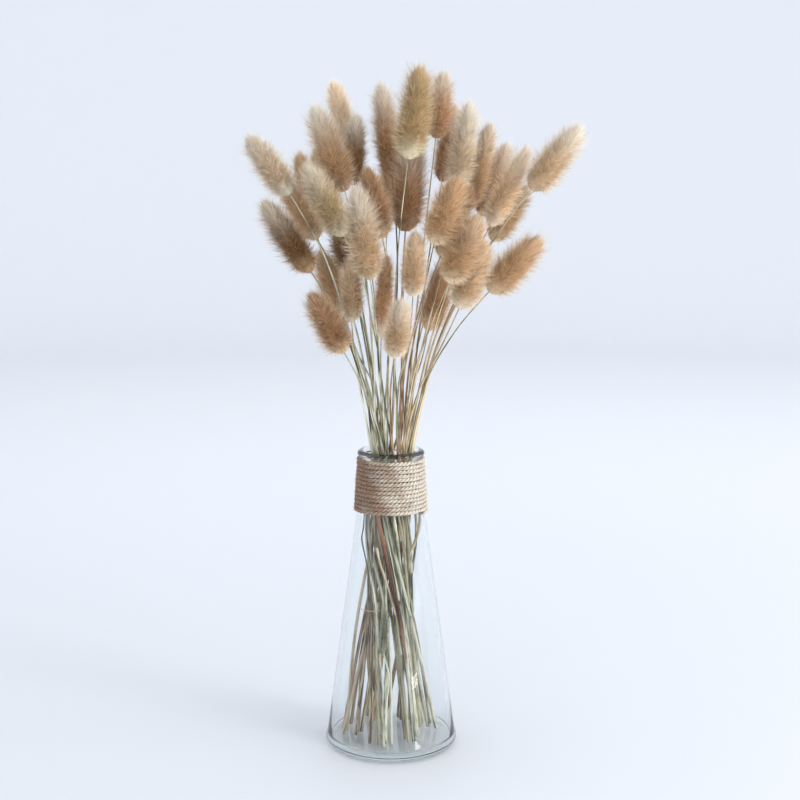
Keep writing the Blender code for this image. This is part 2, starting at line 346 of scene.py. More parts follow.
@dataclass
class Draft:
    """Points, faces and the values they carry, gathered before one mesh is made."""

    points: List[np.ndarray] = field(default_factory=list)
    faces: List[np.ndarray] = field(default_factory=list)
    maps: List[np.ndarray] = field(default_factory=list)
    values: Dict[str, List[np.ndarray]] = field(default_factory=dict)
    normals: List[np.ndarray] = field(default_factory=list)
    count: int = 0

    def add(self, points: np.ndarray, faces: Sequence[np.ndarray], maps: Sequence[np.ndarray],
            normals: Optional[np.ndarray] = None, **values: np.ndarray) -> None:
        """Add a stretch of mesh.

        Args:
            points: one row of x, y, z for each point.
            faces: arrays of three or four point numbers a row.
            maps: for each array of faces, the flat place of each of its corners.
            normals: the way each point's surface is shaded as facing, in every stretch or none.
            **values: a number, or a row of three, for every point.
        """
        self.points.append(points)
        if normals is not None:
            self.normals.append(normals)
        for ring, flat in zip(faces, maps):
            self.faces.append(ring + self.count)
            self.maps.append(flat)
        for name, value in values.items():
            self.values.setdefault(name, []).append(value)
        self.count += len(points)

    def build(self, name: str, material: bpy.types.Material) -> bpy.types.Object:
        """Make the mesh object, shaded smooth.

        Args:
            name: the piece's name.
            material: what it is made of.

        Returns:
            The object, linked to the scene.
        """
        mesh = bpy.data.meshes.new(name)
        corners = np.concatenate([ring.ravel() for ring in self.faces])
        sizes = np.concatenate([np.full(len(ring), ring.shape[1]) for ring in self.faces])
        mesh.vertices.add(self.count)
        mesh.vertices.foreach_set("co", np.concatenate(self.points).astype(np.float32).ravel())
        mesh.loops.add(len(corners))
        mesh.loops.foreach_set("vertex_index", corners.astype(np.int32))
        mesh.polygons.add(len(sizes))
        mesh.polygons.foreach_set("loop_start", (np.cumsum(sizes) - sizes).astype(np.int32))
        mesh.polygons.foreach_set("use_smooth", np.ones(len(sizes), bool))
        mesh.update(calc_edges=True)
        flat = mesh.uv_layers.new(name=BAKE_MAP)
        places = np.concatenate([spot.reshape(-1, 2) for spot in self.maps])
        flat.uv.foreach_set("vector", places.astype(np.float32).ravel())
        for key, parts in self.values.items():
            value = np.concatenate(parts).astype(np.float32)
            kind, slot = ("FLOAT", "value") if value.ndim == 1 else ("FLOAT_VECTOR", "vector")
            mesh.attributes.new(key, kind, "POINT").data.foreach_set(slot, value.ravel())
        if self.normals:
            mesh.normals_split_custom_set_from_vertices(np.concatenate(self.normals))
        mesh.materials.append(material)
        obj = bpy.data.objects.new(name, mesh)
        bpy.context.scene.collection.objects.link(obj)
        return obj


def unit(vectors: np.ndarray) -> np.ndarray:
    """Vectors brought to a length of one, along the last axis."""
    return vectors / np.maximum(np.linalg.norm(vectors, axis=-1, keepdims=True), 1e-12)


def read(curve: Curve, at: np.ndarray) -> np.ndarray:
    """Read a curve, given as pairs of a place and a value, at some places."""
    places, values = zip(*curve)
    return np.interp(at, places, values)


def eased(share: np.ndarray) -> np.ndarray:
    """A share from 0 to 1 that starts and ends gently."""
    return share * share * (3 - 2 * share)


def run_along(line: np.ndarray) -> np.ndarray:
    """How far along a line each of its stations is."""
    return np.concatenate([[0.0], np.cumsum(np.linalg.norm(np.diff(line, axis=0), axis=1))])


def around(count: int) -> np.ndarray:
    """Evenly spaced angles all the way round."""
    return np.linspace(0.0, TURN, count, endpoint=False)


def smooth_line(points: np.ndarray, count: int, between: int = 24) -> np.ndarray:
    """Draw a smooth line through points, with its stations evenly spaced.

    Args:
        points: the points it passes through.
        count: how many stations it has.
        between: how finely it is first drawn from one point to the next.

    Returns:
        One row for each station.
    """
    ends = np.vstack([2 * points[0] - points[1], points, 2 * points[-1] - points[-2]])
    gaps = np.sqrt(np.linalg.norm(np.diff(ends, axis=0), axis=1))
    knots = np.concatenate([[0.0], np.cumsum(gaps)])
    fine = []
    for i in range(1, len(ends) - 2):
        t = np.linspace(knots[i], knots[i + 1], between, endpoint=(i == len(ends) - 3))[:, None]
        k0, k1, k2, k3 = knots[i - 1:i + 3]
        a1 = (k1 - t) / (k1 - k0) * ends[i - 1] + (t - k0) / (k1 - k0) * ends[i]
        a2 = (k2 - t) / (k2 - k1) * ends[i] + (t - k1) / (k2 - k1) * ends[i + 1]
        a3 = (k3 - t) / (k3 - k2) * ends[i + 1] + (t - k2) / (k3 - k2) * ends[i + 2]
        b1 = (k2 - t) / (k2 - k0) * a1 + (t - k0) / (k2 - k0) * a2
        b2 = (k3 - t) / (k3 - k1) * a2 + (t - k1) / (k3 - k1) * a3
        fine.append((k2 - t) / (k2 - k1) * b1 + (t - k1) / (k2 - k1) * b2)
    fine = np.vstack(fine)
    run = run_along(fine)
    at = np.linspace(0.0, run[-1], count)
    return np.stack([np.interp(at, run, fine[:, i]) for i in range(3)], axis=1)


def carried_frames(line: np.ndarray) -> Tuple[np.ndarray, np.ndarray, np.ndarray]:
    """Directions along a line and across it that turn as little as they can.

    Args:
        line: the stations of the line.

    Returns:
        The way along it, and two ways across it, at each station.
    """
    along = unit(np.gradient(line, axis=0))
    across = np.zeros_like(along)
    start = np.cross(along[0], (0.0, 1.0, 0.0))
    across[0] = start / np.linalg.norm(start)
    for i in range(1, len(line)):
        side = across[i - 1] - along[i] * np.dot(across[i - 1], along[i])
        across[i] = side / np.linalg.norm(side)
    return along, across, np.cross(along, across)


def grid_faces(rows: int, columns: int, closed: bool) -> np.ndarray:
    """Four-cornered faces over a grid of points.

    Args:
        rows: how many rows of points there are.
        columns: how many points are in each row.
        closed: whether the last column joins the first.

    Returns:
        One row of four point numbers for each face.
    """
    row, column = np.meshgrid(np.arange(rows - 1), np.arange(columns if closed else columns - 1),
                              indexing="ij")
    beside = (column + 1) % columns
    faces = [row * columns + column, row * columns + beside,
             (row + 1) * columns + beside, (row + 1) * columns + column]
    return np.stack(faces, axis=-1).reshape(-1, 4)


def grid_map(rows: int, columns: int, closed: bool, window: Sequence[float]) -> np.ndarray:
    """The flat places of the corners of grid_faces, laid out in a window.

    Args:
        rows: how many rows of points there are.
        columns: how many points are in each row.
        closed: whether the last column joins the first.
        window: the window's left, bottom, right and top.

    Returns:
        The place of each face's four corners.
    """
    wide = columns if closed else columns - 1
    row, column = np.meshgrid(np.arange(rows - 1), np.arange(wide), indexing="ij")
    corners = [(column, row), (column + 1, row), (column + 1, row + 1), (column, row + 1)]
    left, bottom, right, top = window
    flat = [np.stack([left + (right - left) * c / wide, bottom + (top - bottom) * r / (rows - 1)], -1)
            for c, r in corners]
    return np.stack(flat, axis=2).reshape(-1, 4, 2)


# ---------------------------------------------------------------- finishes


# How light a hair is: in the depth of the fur, and what its tuft adds to that, with painted light added at
# the head's shaded foot.
DEEP_SHADE = 0.72
TUFT_SHADE = 0.55
FOOT_PAINTED_LIGHT = 0.20


@dataclass(frozen=True)
class HeadFinish:
    """How a head has dried, root to tip, with painted shade deep in the fur and painted light at its foot."""

    name: str
    heart: Colour
    middle: Colour
    fringe: Colour
    foot: Colour
    tip: Colour = (1.0, 0.985, 0.94)
    flecks: Colour = (0.36, 0.26, 0.17)
    glow: float = 0.42

    def make(self) -> bpy.types.Material:
        """Make the material: darker within, partly as painted shade, and paler at the hairs' ends, the foot
        and the tip.

        Returns:
            The material.
        """
        shader = Shader(self.name)
        run = shader.named("run")
        low = shader.named("low")
        high = shader.named("high")
        tuft = shader.named("tuft")
        fleck = shader.named("fleck")
        # Darker towards the hairs' roots: partly the head's own colour, partly painted shade deep in the fur.
        body = shader.ramp(run, [(0.0, self.heart), (0.6, self.middle), (1.0, self.fringe)])
        # The pale foot is partly the head's own colour and partly painted light on its shaded underside.
        body = shader.blend(body, linear(self.foot), low * (run * 0.2 + 0.8))
        body = shader.blend(body, linear(self.tip), high * (run * 0.3 + 0.7))
        # The foot's share here is painted light too, on the side of the head that faces down into shade.
        shade = tuft * TUFT_SHADE + low * FOOT_PAINTED_LIGHT + DEEP_SHADE
        grey = shader.node("ShaderNodeCombineColor", None, {0: shade, 1: shade, 2: shade})
        body = shader.blend(body, Signal(shader, grey.outputs[0]), 1.0, "MULTIPLY")
        body = shader.blend(body, linear(self.flecks), fleck)
        shader.dress(base_color=body, roughness=0.85, specular_ior_level=0.12)
        shader.let_light_through(self.fringe, run * self.glow + low * 0.30)
        return shader.material


@dataclass(frozen=True)
class StrawFinish:
    """Dry stem and leaf sheath: streaked along its length, darker at the joints and where painted shade lies
    on it.
    """

    name: str
    pale: Colour
    middle: Colour
    dark: Colour
    sheath: Colour
    roughness: float = 0.5

    def make(self) -> bpy.types.Material:
        """Make the material, streaked along the straw.

        Returns:
            The material.
        """
        shader = Shader(self.name)
        skin = shader.place("skin")
        wrap = shader.named("wrap")
        luck = shader.named("luck")
        streak = shader.noise(shader.stretched(skin, (1.0, 1.0, 7.0)), 1.0, 3.0, 0.65) - 0.5
        line = shader.noise(shader.stretched(skin, (2.8, 2.8, 5.0)), 1.0, 2.0, 0.5) - 0.5
        blotch = shader.noise(shader.stretched(skin, (0.3, 0.3, 24.0)), 1.0, 2.0, 0.5) - 0.5
        tone = (streak * 2.5 + line * 1.4 + blotch * 2.0 + luck * 0.6 + 0.25).clamped()
        body = shader.ramp(tone, [(0.08, self.dark), (0.42, self.middle), (0.80, self.pale)])
        leaf = shader.ramp(tone, [(0.05, self.dark), (0.34, self.middle), (0.66, self.sheath),
                                  (1.0, self.pale)])
        body = shader.blend(body, leaf, wrap)
        # Dark at the joints, and painted shade inside the vase, in the neck and under the heads.
        joint = shader.named("joint")
        body = shader.blend(body, linear(self.dark), joint * 0.8)
        shader.relief(streak, 0.35, 0.0004)
        shader.dress(base_color=body, roughness=streak * 0.5 + self.roughness,
                     specular_ior_level=0.4)
        return shader.material


@dataclass(frozen=True)
class TwineFinish:
    """Raw jute: pale straw fibres with browner ones among them, and painted shade in the creases and on one
    side.
    """

    name: str = "raw_jute"
    pale: Colour = (0.865, 0.84, 0.79)
    middle: Colour = (0.75, 0.68, 0.59)
    dark: Colour = (0.40, 0.28, 0.20)
    brown: Colour = (0.56, 0.42, 0.32)

    def make(self) -> bpy.types.Material:
        """Make the material, with fibres that follow the plies.

        Returns:
            The material.
        """
        shader = Shader(self.name)
        skin = shader.place("skin")
        fibre = shader.noise(shader.stretched(skin, (1.0, 6.0, 1.0)), 1.0, 3.0, 0.7)
        # The brown share is partly brown fibres and partly painted shade on the side away from the light.
        brown = shader.named("brown")
        tone = (fibre * 2.4 - brown * 0.35 - 0.50).clamped()
        body = shader.ramp(tone, [(0.05, self.dark), (0.40, self.middle), (0.78, self.pale)])
        body = shader.blend(body, linear(self.brown), brown * 0.75)
        # Painted shade in the creases between the plies.
        crease_shade = shader.named("depth")
        body = shader.blend(body, linear(self.dark), crease_shade * 0.5)
        shader.relief(fibre, 0.6, 0.0003)
        shader.dress(base_color=body, roughness=fibre * 0.15 + 0.78, specular_ior_level=0.2,
                     sheen_weight=0.25, sheen_roughness=0.5)
        return shader.material


@dataclass(frozen=True)
class GlassFinish:
    """Clear soda glass with the faintest grey-blue in its thickness."""

    name: str = "clear_soda_glass"
    tint: Colour = (0.985, 0.993, 0.995)
    depth_tint: Colour = (0.86, 0.88, 0.88)
    depth: float = 13.0

    def make(self) -> bpy.types.Material:
        """Make the material: plain transmission, with absorption in the thickness.

        Returns:
            The material.
        """
        shader = Shader(self.name)
        shader.dress(base_color=linear(self.tint), roughness=0.0, ior=1.5, transmission_weight=1.0,
                     specular_ior_level=0.5)
        soak = shader.node("ShaderNodeVolumeAbsorption", None,
                           {"Color": linear(self.depth_tint), "Density": self.depth})
        shader.tree.links.new(soak.outputs[0], shader.output.inputs["Volume"])
        return shader.material


@dataclass(frozen=True)
class BoardFinish:
    """The pale table and the wall it sweeps up into."""

    name: str = "pale_board"
    table: Colour = (0.88, 0.895, 0.92)
    wall: Colour = (0.905, 0.915, 0.935)

    def make(self) -> bpy.types.Material:
        """Make the material, with a barely visible mottle.

        Returns:
            The material.
        """
        shader = Shader(self.name)
        place = Signal(shader, shader.node("ShaderNodeNewGeometry").outputs["Position"])
        mottle = shader.noise(place, 3.0, 3.0, 0.5)
        away = shader.node("ShaderNodeVectorMath", {"operation": "LENGTH"}, {0: place})
        far = Signal(shader, away.outputs["Value"]).step(0.4, 1.8)
        body = shader.blend(linear(self.table), linear(self.wall), far)
        darker = tuple(c * 0.985 for c in self.wall)
        body = shader.blend(body, linear(darker), mottle * 0.3)
        return shader.dress(base_color=body, roughness=0.55, specular_ior_level=0.3)


# ---------------------------------------------------------------- ribbons and tubes


# Where a hair's corners lie in its cell of the flat map, in shares of the cell.
CELL_LOW = 0.12
CELL_MIDDLE = 0.5
CELL_HIGH = 0.88


def map_cells(count: int, window: Sequence[float]) -> Tuple[np.ndarray, np.ndarray]:
    """Part a window of the flat map into one cell for each of many hairs.

    Args:
        count: how many hairs there are.
        window: the window's left, bottom, right and top.

    Returns:
        The size of a cell, and the lower left corner of each.
    """
    across = int(math.ceil(math.sqrt(count)))
    left, bottom, right, top = window
    cell = np.array([(right - left) / across, (top - bottom) / across])
    place = np.stack([np.arange(count) % across, np.arange(count) // across], -1)
    return cell, place * cell + (left, bottom)


def add_ribbons(draft: Draft, roots: np.ndarray, mids: np.ndarray, tips: np.ndarray,
                facing: np.ndarray, width: np.ndarray, waist: float, window: Sequence[float],
                run: Sequence[float] = (0.0, 0.5, 1.0), normals: Optional[np.ndarray] = None,
                **values: np.ndarray) -> None:
    """Add a thin tapering ribbon for each hair.

    Args:
        draft: the mesh they join.
        roots: where each hair starts.
        mids: where each hair bends.
        tips: where each hair ends.
        facing: the way each ribbon's flat side looks.
        width: how wide each is at its root.
        waist: the share of that width at the bend.
        window: the part of the flat map that they are laid out in.
        run: the value of run at root, bend and tip.
        normals: the way each hair is shaded as facing.
        **values: one number for each hair.
    """
    count = len(roots)
    side = unit(np.cross(tips - roots, facing)) * width[:, None] / 2
    points = np.stack([roots - side, roots + side, mids - side * waist, mids + side * waist, tips], 1)
    first = np.arange(count)[:, None] * 5
    faces = [first + np.array([0, 1, 3, 2]), first + np.array([2, 3, 4])]
    cell, corner = map_cells(count, window)
    quad = np.array([(CELL_LOW, CELL_LOW), (CELL_HIGH, CELL_LOW), (CELL_HIGH, CELL_MIDDLE),
                     (CELL_LOW, CELL_MIDDLE)])
    point = np.array([(CELL_LOW, CELL_MIDDLE), (CELL_HIGH, CELL_MIDDLE), (CELL_MIDDLE, CELL_HIGH)])
    maps = [corner[:, None, :] + quad * cell, corner[:, None, :] + point * cell]
    spread = {name: np.repeat(value, 5) for name, value in values.items()}
    along = np.tile([run[0], run[0], run[1], run[1], run[2]], count)
    shaded = None if normals is None else np.repeat(normals, 5, axis=0)
    draft.add(points.reshape(-1, 3), faces, maps, shaded, run=along, **spread)


def add_blades(draft: Draft, roots: np.ndarray, tips: np.ndarray, facing: np.ndarray, width: np.ndarray,
               window: Sequence[float], run: Sequence[float], normals: np.ndarray,
               **values: np.ndarray) -> None:
    """Add a straight hair of a single tapering face for each root and tip.

    Args:
        draft: the mesh they join.
        roots: where each hair starts.
        tips: where each hair ends.
        facing: the way each hair's flat side looks.
        width: how wide each is at its root.
        window: the part of the flat map that they are laid out in.
        run: the value of run at root and tip.
        normals: the way each hair is shaded as facing.
        **values: one number for each hair.
    """
    count = len(roots)
    side = unit(np.cross(tips - roots, facing)) * width[:, None] / 2
    points = np.stack([roots - side, roots + side, tips], 1)
    cell, corner = map_cells(count, window)
    point = np.array([(CELL_LOW, CELL_LOW), (CELL_HIGH, CELL_LOW), (CELL_MIDDLE, CELL_HIGH)])
    spread = {name: np.repeat(value, 3) for name, value in values.items()}
    draft.add(points.reshape(-1, 3), [np.arange(count * 3).reshape(-1, 3)],
              [corner[:, None, :] + point * cell], np.repeat(normals, 3, axis=0),
              run=np.tile([run[0], run[0], run[-1]], count), **spread)


def tube(line: np.ndarray, radii: np.ndarray, sides: int, ribs: float = 0.0, rib_count: int = 5,
         flat: float = 1.0, start: float = 0.0) -> Tuple[np.ndarray, np.ndarray]:
    """Points of a tube along a line.

    Args:
        line: the tube's middle.
        radii: its radius at each station.
        sides: how many points go round it.
        ribs: how far ribs stand out, as a share of the radius.
        rib_count: how many ribs go round.
        flat: its thickness one way over its thickness the other.
        start: the angle that the first point is turned by.

    Returns:
        The points, station by station, and the angle of each point of a station.
    """
    _, across, over = carried_frames(line)
    angle = start + around(sides)
    swell = 1.0 + ribs * np.cos(rib_count * angle)
    out = (np.cos(angle) * swell)[None, :, None] * across[:, None, :] \
        + (np.sin(angle) * swell * flat)[None, :, None] * over[:, None, :]
    points = line[:, None, :] + out * radii[:, None, None]
    return points.reshape(-1, 3), angle


# ---------------------------------------------------------------- the grass


class Look(Enum):
    """The ways that the flower heads have dried."""

    CREAM = HeadFinish("head_cream", (0.77, 0.67, 0.55), (0.93, 0.84, 0.72), (1.0, 0.97, 0.91),
                       (1.0, 0.99, 0.94))
    SAGE = HeadFinish("head_sage_cream", (0.66, 0.56, 0.41), (0.86, 0.76, 0.59), (0.98, 0.93, 0.83),
                      (0.99, 0.98, 0.89))
    GOLD = HeadFinish("head_golden", (0.64, 0.53, 0.37), (0.83, 0.71, 0.52), (0.97, 0.91, 0.80),
                      (0.99, 0.98, 0.88))
    STRAW = HeadFinish("head_straw", (0.77, 0.64, 0.49), (0.93, 0.81, 0.66), (0.99, 0.95, 0.88),
                       (1.0, 0.97, 0.90))
    TAN = HeadFinish("head_tan", (0.70, 0.54, 0.39), (0.89, 0.74, 0.56), (0.98, 0.92, 0.82),
                     (1.0, 0.95, 0.85))
    RIMMED = HeadFinish("head_pale_footed_brown", (0.66, 0.50, 0.36), (0.85, 0.69, 0.52),
                        (0.97, 0.91, 0.81), (1.0, 0.97, 0.90))
    BROWN = HeadFinish("head_brown", (0.60, 0.44, 0.30), (0.82, 0.63, 0.46), (0.97, 0.91, 0.81),
                       (0.98, 0.89, 0.76))
    UNRIPE = HeadFinish("head_unripe", (0.36, 0.36, 0.25), (0.56, 0.57, 0.43), (0.76, 0.77, 0.64),
                        (0.74, 0.75, 0.62))
    DARK = HeadFinish("head_dark_brown", (0.44, 0.31, 0.19), (0.62, 0.46, 0.30), (0.94, 0.84, 0.70),
                      (0.92, 0.80, 0.64))


class Straw(Enum):
    """The ways that the stems have dried."""

    SAGE = StrawFinish("stem_sage", (0.90, 0.90, 0.83), (0.71, 0.71, 0.60), (0.25, 0.24, 0.16),
                       (0.81, 0.82, 0.72))
    STRAW = StrawFinish("stem_straw", (0.89, 0.83, 0.71), (0.72, 0.64, 0.50), (0.31, 0.23, 0.12),
                        (0.81, 0.75, 0.61))
    OLIVE = StrawFinish("stem_olive", (0.77, 0.74, 0.61), (0.55, 0.51, 0.38), (0.21, 0.18, 0.09),
                        (0.70, 0.66, 0.52))
    RUST = StrawFinish("stem_rust", (0.81, 0.70, 0.57), (0.64, 0.50, 0.37), (0.28, 0.18, 0.10),
                       (0.75, 0.64, 0.49))
    RED = StrawFinish("stem_red_brown", (0.65, 0.46, 0.34), (0.51, 0.32, 0.21), (0.26, 0.13, 0.10),
                      (0.64, 0.45, 0.32))


@dataclass(frozen=True)
class Habit:
    """What sets one stalk apart: its colours, how pale its foot and tip are, its flecks and its hairs."""

    look: Look
    straw: Straw
    foot: float = 0.6
    tip: float = 0.4
    flecks: int = 20
    shade: float = 1.0
    long_hairs: int = 620
    top_painted_shade: float = 0.55


# One habit for each stalk of the frame, in the order of the stalks' numbers. The numbers are how pale the
# foot and the tip are, the flecks, the shade, the long hairs, and how much painted shade lies on the top of
# the stem under its head.
HABITS = (
    Habit(Look.CREAM, Straw.SAGE, 1.0, 0.5, 150, 0.98, 640, 0.0),
    Habit(Look.DARK, Straw.OLIVE, 0.8, 0.8),
    Habit(Look.SAGE, Straw.SAGE, 0.8, 0.8, 300, 1.02, 540, 0.2),
    Habit(Look.STRAW, Straw.SAGE, 0.1, 0.8, 120, 0.93, 540, 0.1),
    Habit(Look.BROWN, Straw.SAGE, 1.0, 0.1, 20, 0.97),
    Habit(Look.STRAW, Straw.RUST, 1.0, 0.8, 60, 1.02),
    Habit(Look.STRAW, Straw.OLIVE, 0.9, 0.2, 40, 1.08),
    Habit(Look.TAN, Straw.RUST, 1.0, 0.0, 90, 1.06),
    Habit(Look.TAN, Straw.STRAW, 1.0, 0.3, 20, 1.05),
    Habit(Look.STRAW, Straw.STRAW, 0.9, 0.1, 10, 1.04),
    Habit(Look.TAN, Straw.OLIVE, 0.7, 0.1, 10, 1.02),
    Habit(Look.GOLD, Straw.SAGE, 1.0, 0.05, 340, 1.06, 800, 0.0),
    Habit(Look.TAN, Straw.SAGE, 0.2, 1.0, 20, 1.02),
    Habit(Look.BROWN, Straw.OLIVE, 1.0, 0.0, 30, 0.92),
    Habit(Look.TAN, Straw.SAGE, 0.5, 0.2, 20, 1.04),
    Habit(Look.STRAW, Straw.OLIVE, 1.0, 0.1, 20, 1.03),
    Habit(Look.DARK, Straw.OLIVE, 0.1, 0.3, 20, 0.9),
    Habit(Look.RIMMED, Straw.SAGE, 1.0, 0.1, 30, 1.2),
    Habit(Look.BROWN, Straw.OLIVE, 0.2, 1.0, 10, 0.97),
    Habit(Look.BROWN, Straw.RUST, 0.2, 0.8, 30, 0.94),
    Habit(Look.CREAM, Straw.STRAW, 0.6, 0.9, 10, 0.95),
    Habit(Look.BROWN, Straw.STRAW, 1.0, 0.0, 20, 0.78),
    Habit(Look.STRAW, Straw.RUST, 0.7, 0.8, 20, 1.22),
    Habit(Look.STRAW, Straw.STRAW, 0.3, 1.0, 10, 0.98, 640),
    Habit(Look.TAN, Straw.SAGE, 0.6, 0.2, 20, 1.06),
    Habit(Look.TAN, Straw.OLIVE, 0.8, 0.0, 20, 1.04),
    Habit(Look.CREAM, Straw.SAGE, 0.5, 0.2, 10, 1.26),
    Habit(Look.DARK, Straw.OLIVE, 0.0, 1.0, 20, 1.1),
    Habit(Look.TAN, Straw.SAGE, 0.7, 0.1, 20, 1.1),
    Habit(Look.BROWN, Straw.STRAW, 0.1, 0.8, 20, 1.04, 640),
    Habit(Look.BROWN, Straw.STRAW, 0.2, 0.6, 20, 1.06),
    Habit(Look.BROWN, Straw.RUST, 1.0, 0.0, 20, 1.0),
    Habit(Look.TAN, Straw.STRAW, 0.0, 0.6, 20, 0.98),
    Habit(Look.BROWN, Straw.RUST, 0.1, 0.8),
    Habit(Look.TAN, Straw.STRAW, 0.5, 0.4, 20, 0.76),
    Habit(Look.TAN, Straw.SAGE),
    Habit(Look.TAN, Straw.OLIVE),
    Habit(Look.STRAW, Straw.STRAW),
    Habit(Look.TAN, Straw.STRAW),
    Habit(Look.BROWN, Straw.SAGE),
)


@dataclass(frozen=True)
class Coat:
    """One layer of a flower head's hairs.

    The hairs end near a share of the head's reach, give or take a spread, and their widths are in
    millimetres. Two values of run make a straight hair and three a bent one. The window is the part of
    the flat map that they take. The last two are how far they roll from lying flat on the head, and how
    far they are shaded as its one soft surface.
    """

    hairs: int
    near: float
    spread: float
    width: Tuple[float, float]
    run: Tuple[float, ...]
    window: Tuple[float, float, float, float]
    roll: float
    velvet: float


UNDERCOAT = Coat(hairs=3800, near=0.72, spread=0.07, width=(0.23, 0.35), run=(0.0, 0.50),
                 window=(0.0, 0.06, 1.0, 0.28), roll=0.9, velvet=0.93)
FUR = Coat(hairs=5700, near=0.87, spread=0.12, width=(0.16, 0.25), run=(0.0, 0.80),
           window=(0.0, 0.28, 1.0, 0.56), roll=1.0, velvet=0.88)
FRINGE = Coat(hairs=2700, near=1.17, spread=0.25, width=(0.08, 0.12), run=(0.30, 0.75, 1.0),
              window=(0.0, 0.56, 1.0, 0.94), roll=3.1, velvet=0.4)

# Curves over the share of a head's length. They give how freely hairs stray from the form of the fur, how far
# their ends run on past it along the axis, how strongly tufts are shaded apart, and how far below its tip a
# hair has its root, in shares of half the head's width.
STRAYING: Curve = ((0.0, 0.5), (0.10, 0.75), (0.35, 1.0), (0.8, 1.3), (1.0, 2.6))
PAST_TIP: Curve = ((0.7, 0.0), (1.0, 1.0))
TUFT_CONTRAST: Curve = ((0.08, 0.1), (0.4, 1.0))
ROOT_FALL: Curve = ((0.0, -0.30), (0.06, -0.16), (0.16, 0.08), (0.40, 0.34), (0.75, 0.50), (0.9, 0.7),
                    (1.0, 1.1))


@dataclass
class FlowerHead:
    """A soft egg-shaped head: fine hairs that spring from a slim heart and bend up along it.

    Its outlines give the radius over the share of the length, in shares of half the width. The leans are
    how far hairs swing round the axis, in radians, and the stray is how far they leave the form of the fur.
    The end cover is the girth that is counted on top of the reach, so that the narrow ends are covered too.
    The pale foot is full up to one share of the length and ends at another, and the pale tip begins at a
    third. The tip is rounded off from the rounding on. The long hairs stand past the fur by a length between
    two limits, less on a head that is slimmer than the full width.
    """

    base: np.ndarray
    axis: np.ndarray
    length: float
    width: float
    habit: Habit
    fullness: float = 1.0
    tufts: int = 240
    outline: Curve = (
        (0.0, 0.22), (0.02, 0.45), (0.06, 0.71), (0.13, 0.92), (0.24, 1.02), (0.36, 1.05), (0.50, 1.02),
        (0.66, 0.95), (0.80, 0.83), (0.90, 0.68), (0.96, 0.51), (1.0, 0.30), (1.2, 0.08))
    heart_outline: Curve = (
        (0.0, 0.16), (0.03, 0.42), (0.10, 0.62), (0.3, 0.62), (0.6, 0.48), (0.86, 0.18), (0.92, 0.02))
    foot_full: float = 0.03
    foot_ends: float = 0.34
    tip_begins: float = 0.42
    heart_rows: int = 16
    heart_columns: int = 14
    heart_roughness: float = 0.10
    root_depth: float = 0.9
    end_cover: float = 0.06
    tuft_squatness: float = 6.0
    tuft_lean: float = 0.08
    hair_lean: float = 0.10
    tuft_stray: float = 0.04
    shortest: float = 0.50
    longest: float = 1.75
    rounding: float = 0.88
    past_limit: float = 0.20
    tuft_tone: float = 0.3
    softness: float = 0.14
    waist: float = 0.85
    widest: float = 0.85
    standing: Tuple[float, float] = (1.5 * MM, 7.0 * MM)
    full_width: float = 20 * MM

    def reach(self, rise: np.ndarray) -> np.ndarray:
        """How far the dense fur stands from the axis at each share of the head's length."""
        return read(self.outline, rise) * self.width / 2

    def heart(self, rise: np.ndarray) -> np.ndarray:
        """The radius of the heart that the hairs grow from."""
        return read(self.heart_outline, rise) * self.width / 2

    @property
    def lighter(self) -> float:
        """What this head's shade adds to the lightness of its tufts."""
        return (self.habit.shade - 1.0) / TUFT_SHADE

    def bands(self, rise: np.ndarray) -> Dict[str, np.ndarray]:
        """How far the pale of the foot and the pale of the tip show.

        Args:
            rise: shares of the head's length.

        Returns:
            The two values at each of them.
        """
        foot = np.clip((self.foot_ends - rise) / (self.foot_ends - self.foot_full), 0.0, 1.0)
        tip = np.clip((rise - self.tip_begins) / (1.0 - self.tip_begins), 0.0, 1.0)
        return {"low": self.habit.foot * eased(foot), "high": self.habit.tip * eased(tip)}

    def ways_across(self) -> Tuple[np.ndarray, np.ndarray]:
        """Two ways across the head."""
        side = unit(np.cross(self.axis, (0.0, 1.0, 0.2)))
        return side, np.cross(self.axis, side)

    def radial(self, angle: np.ndarray) -> np.ndarray:
        """The way out from the axis at each angle round it."""
        side, over = self.ways_across()
        return np.cos(angle)[..., None] * side + np.sin(angle)[..., None] * over

    def spot(self, rise: np.ndarray, angle: np.ndarray, out: np.ndarray) -> np.ndarray:
        """A point at a share of the length, an angle round the axis and a distance from it."""
        return self.base + self.axis * (rise * self.length)[:, None] + self.radial(angle) * out[:, None]

    def surface_way(self, rise: np.ndarray, angle: np.ndarray) -> np.ndarray:
        """The way that the head's soft outer surface faces.

        Args:
            rise: shares of the head's length.
            angle: angles round the axis.

        Returns:
            One way out for each of them.
        """
        step = 0.02
        widening = self.reach(rise + step) - self.reach(np.maximum(rise - step, 0.0))
        slope = widening / (2 * step * self.length)
        return unit(self.radial(angle) - self.axis * np.clip(slope, -2.5, 0.5)[:, None])

    def add_heart(self, draft: Draft, rng: np.random.Generator) -> None:
        """Add the slim knobbly heart that the hairs grow from.

        Args:
            draft: the mesh it joins.
            rng: the source of chance.
        """
        rows, columns = self.heart_rows, self.heart_columns
        level = np.linspace(0.01, self.heart_outline[-1][0], rows)
        rise, angle = np.repeat(level, columns), np.tile(around(columns), rows)
        rough = 1.0 + rng.uniform(-self.heart_roughness, self.heart_roughness, (rows, columns))
        points = self.spot(rise, angle, (self.heart(level)[:, None] * rough).ravel())
        count = rows * columns
        draft.add(points, [grid_faces(rows, columns, True)],
                  [grid_map(rows, columns, True, (0.0, 0.0, 1.0, 0.06))], self.surface_way(rise, angle),
                  run=np.zeros(count), tuft=rng.uniform(0, 0.6, count), fleck=np.zeros(count),
                  **self.bands(rise))

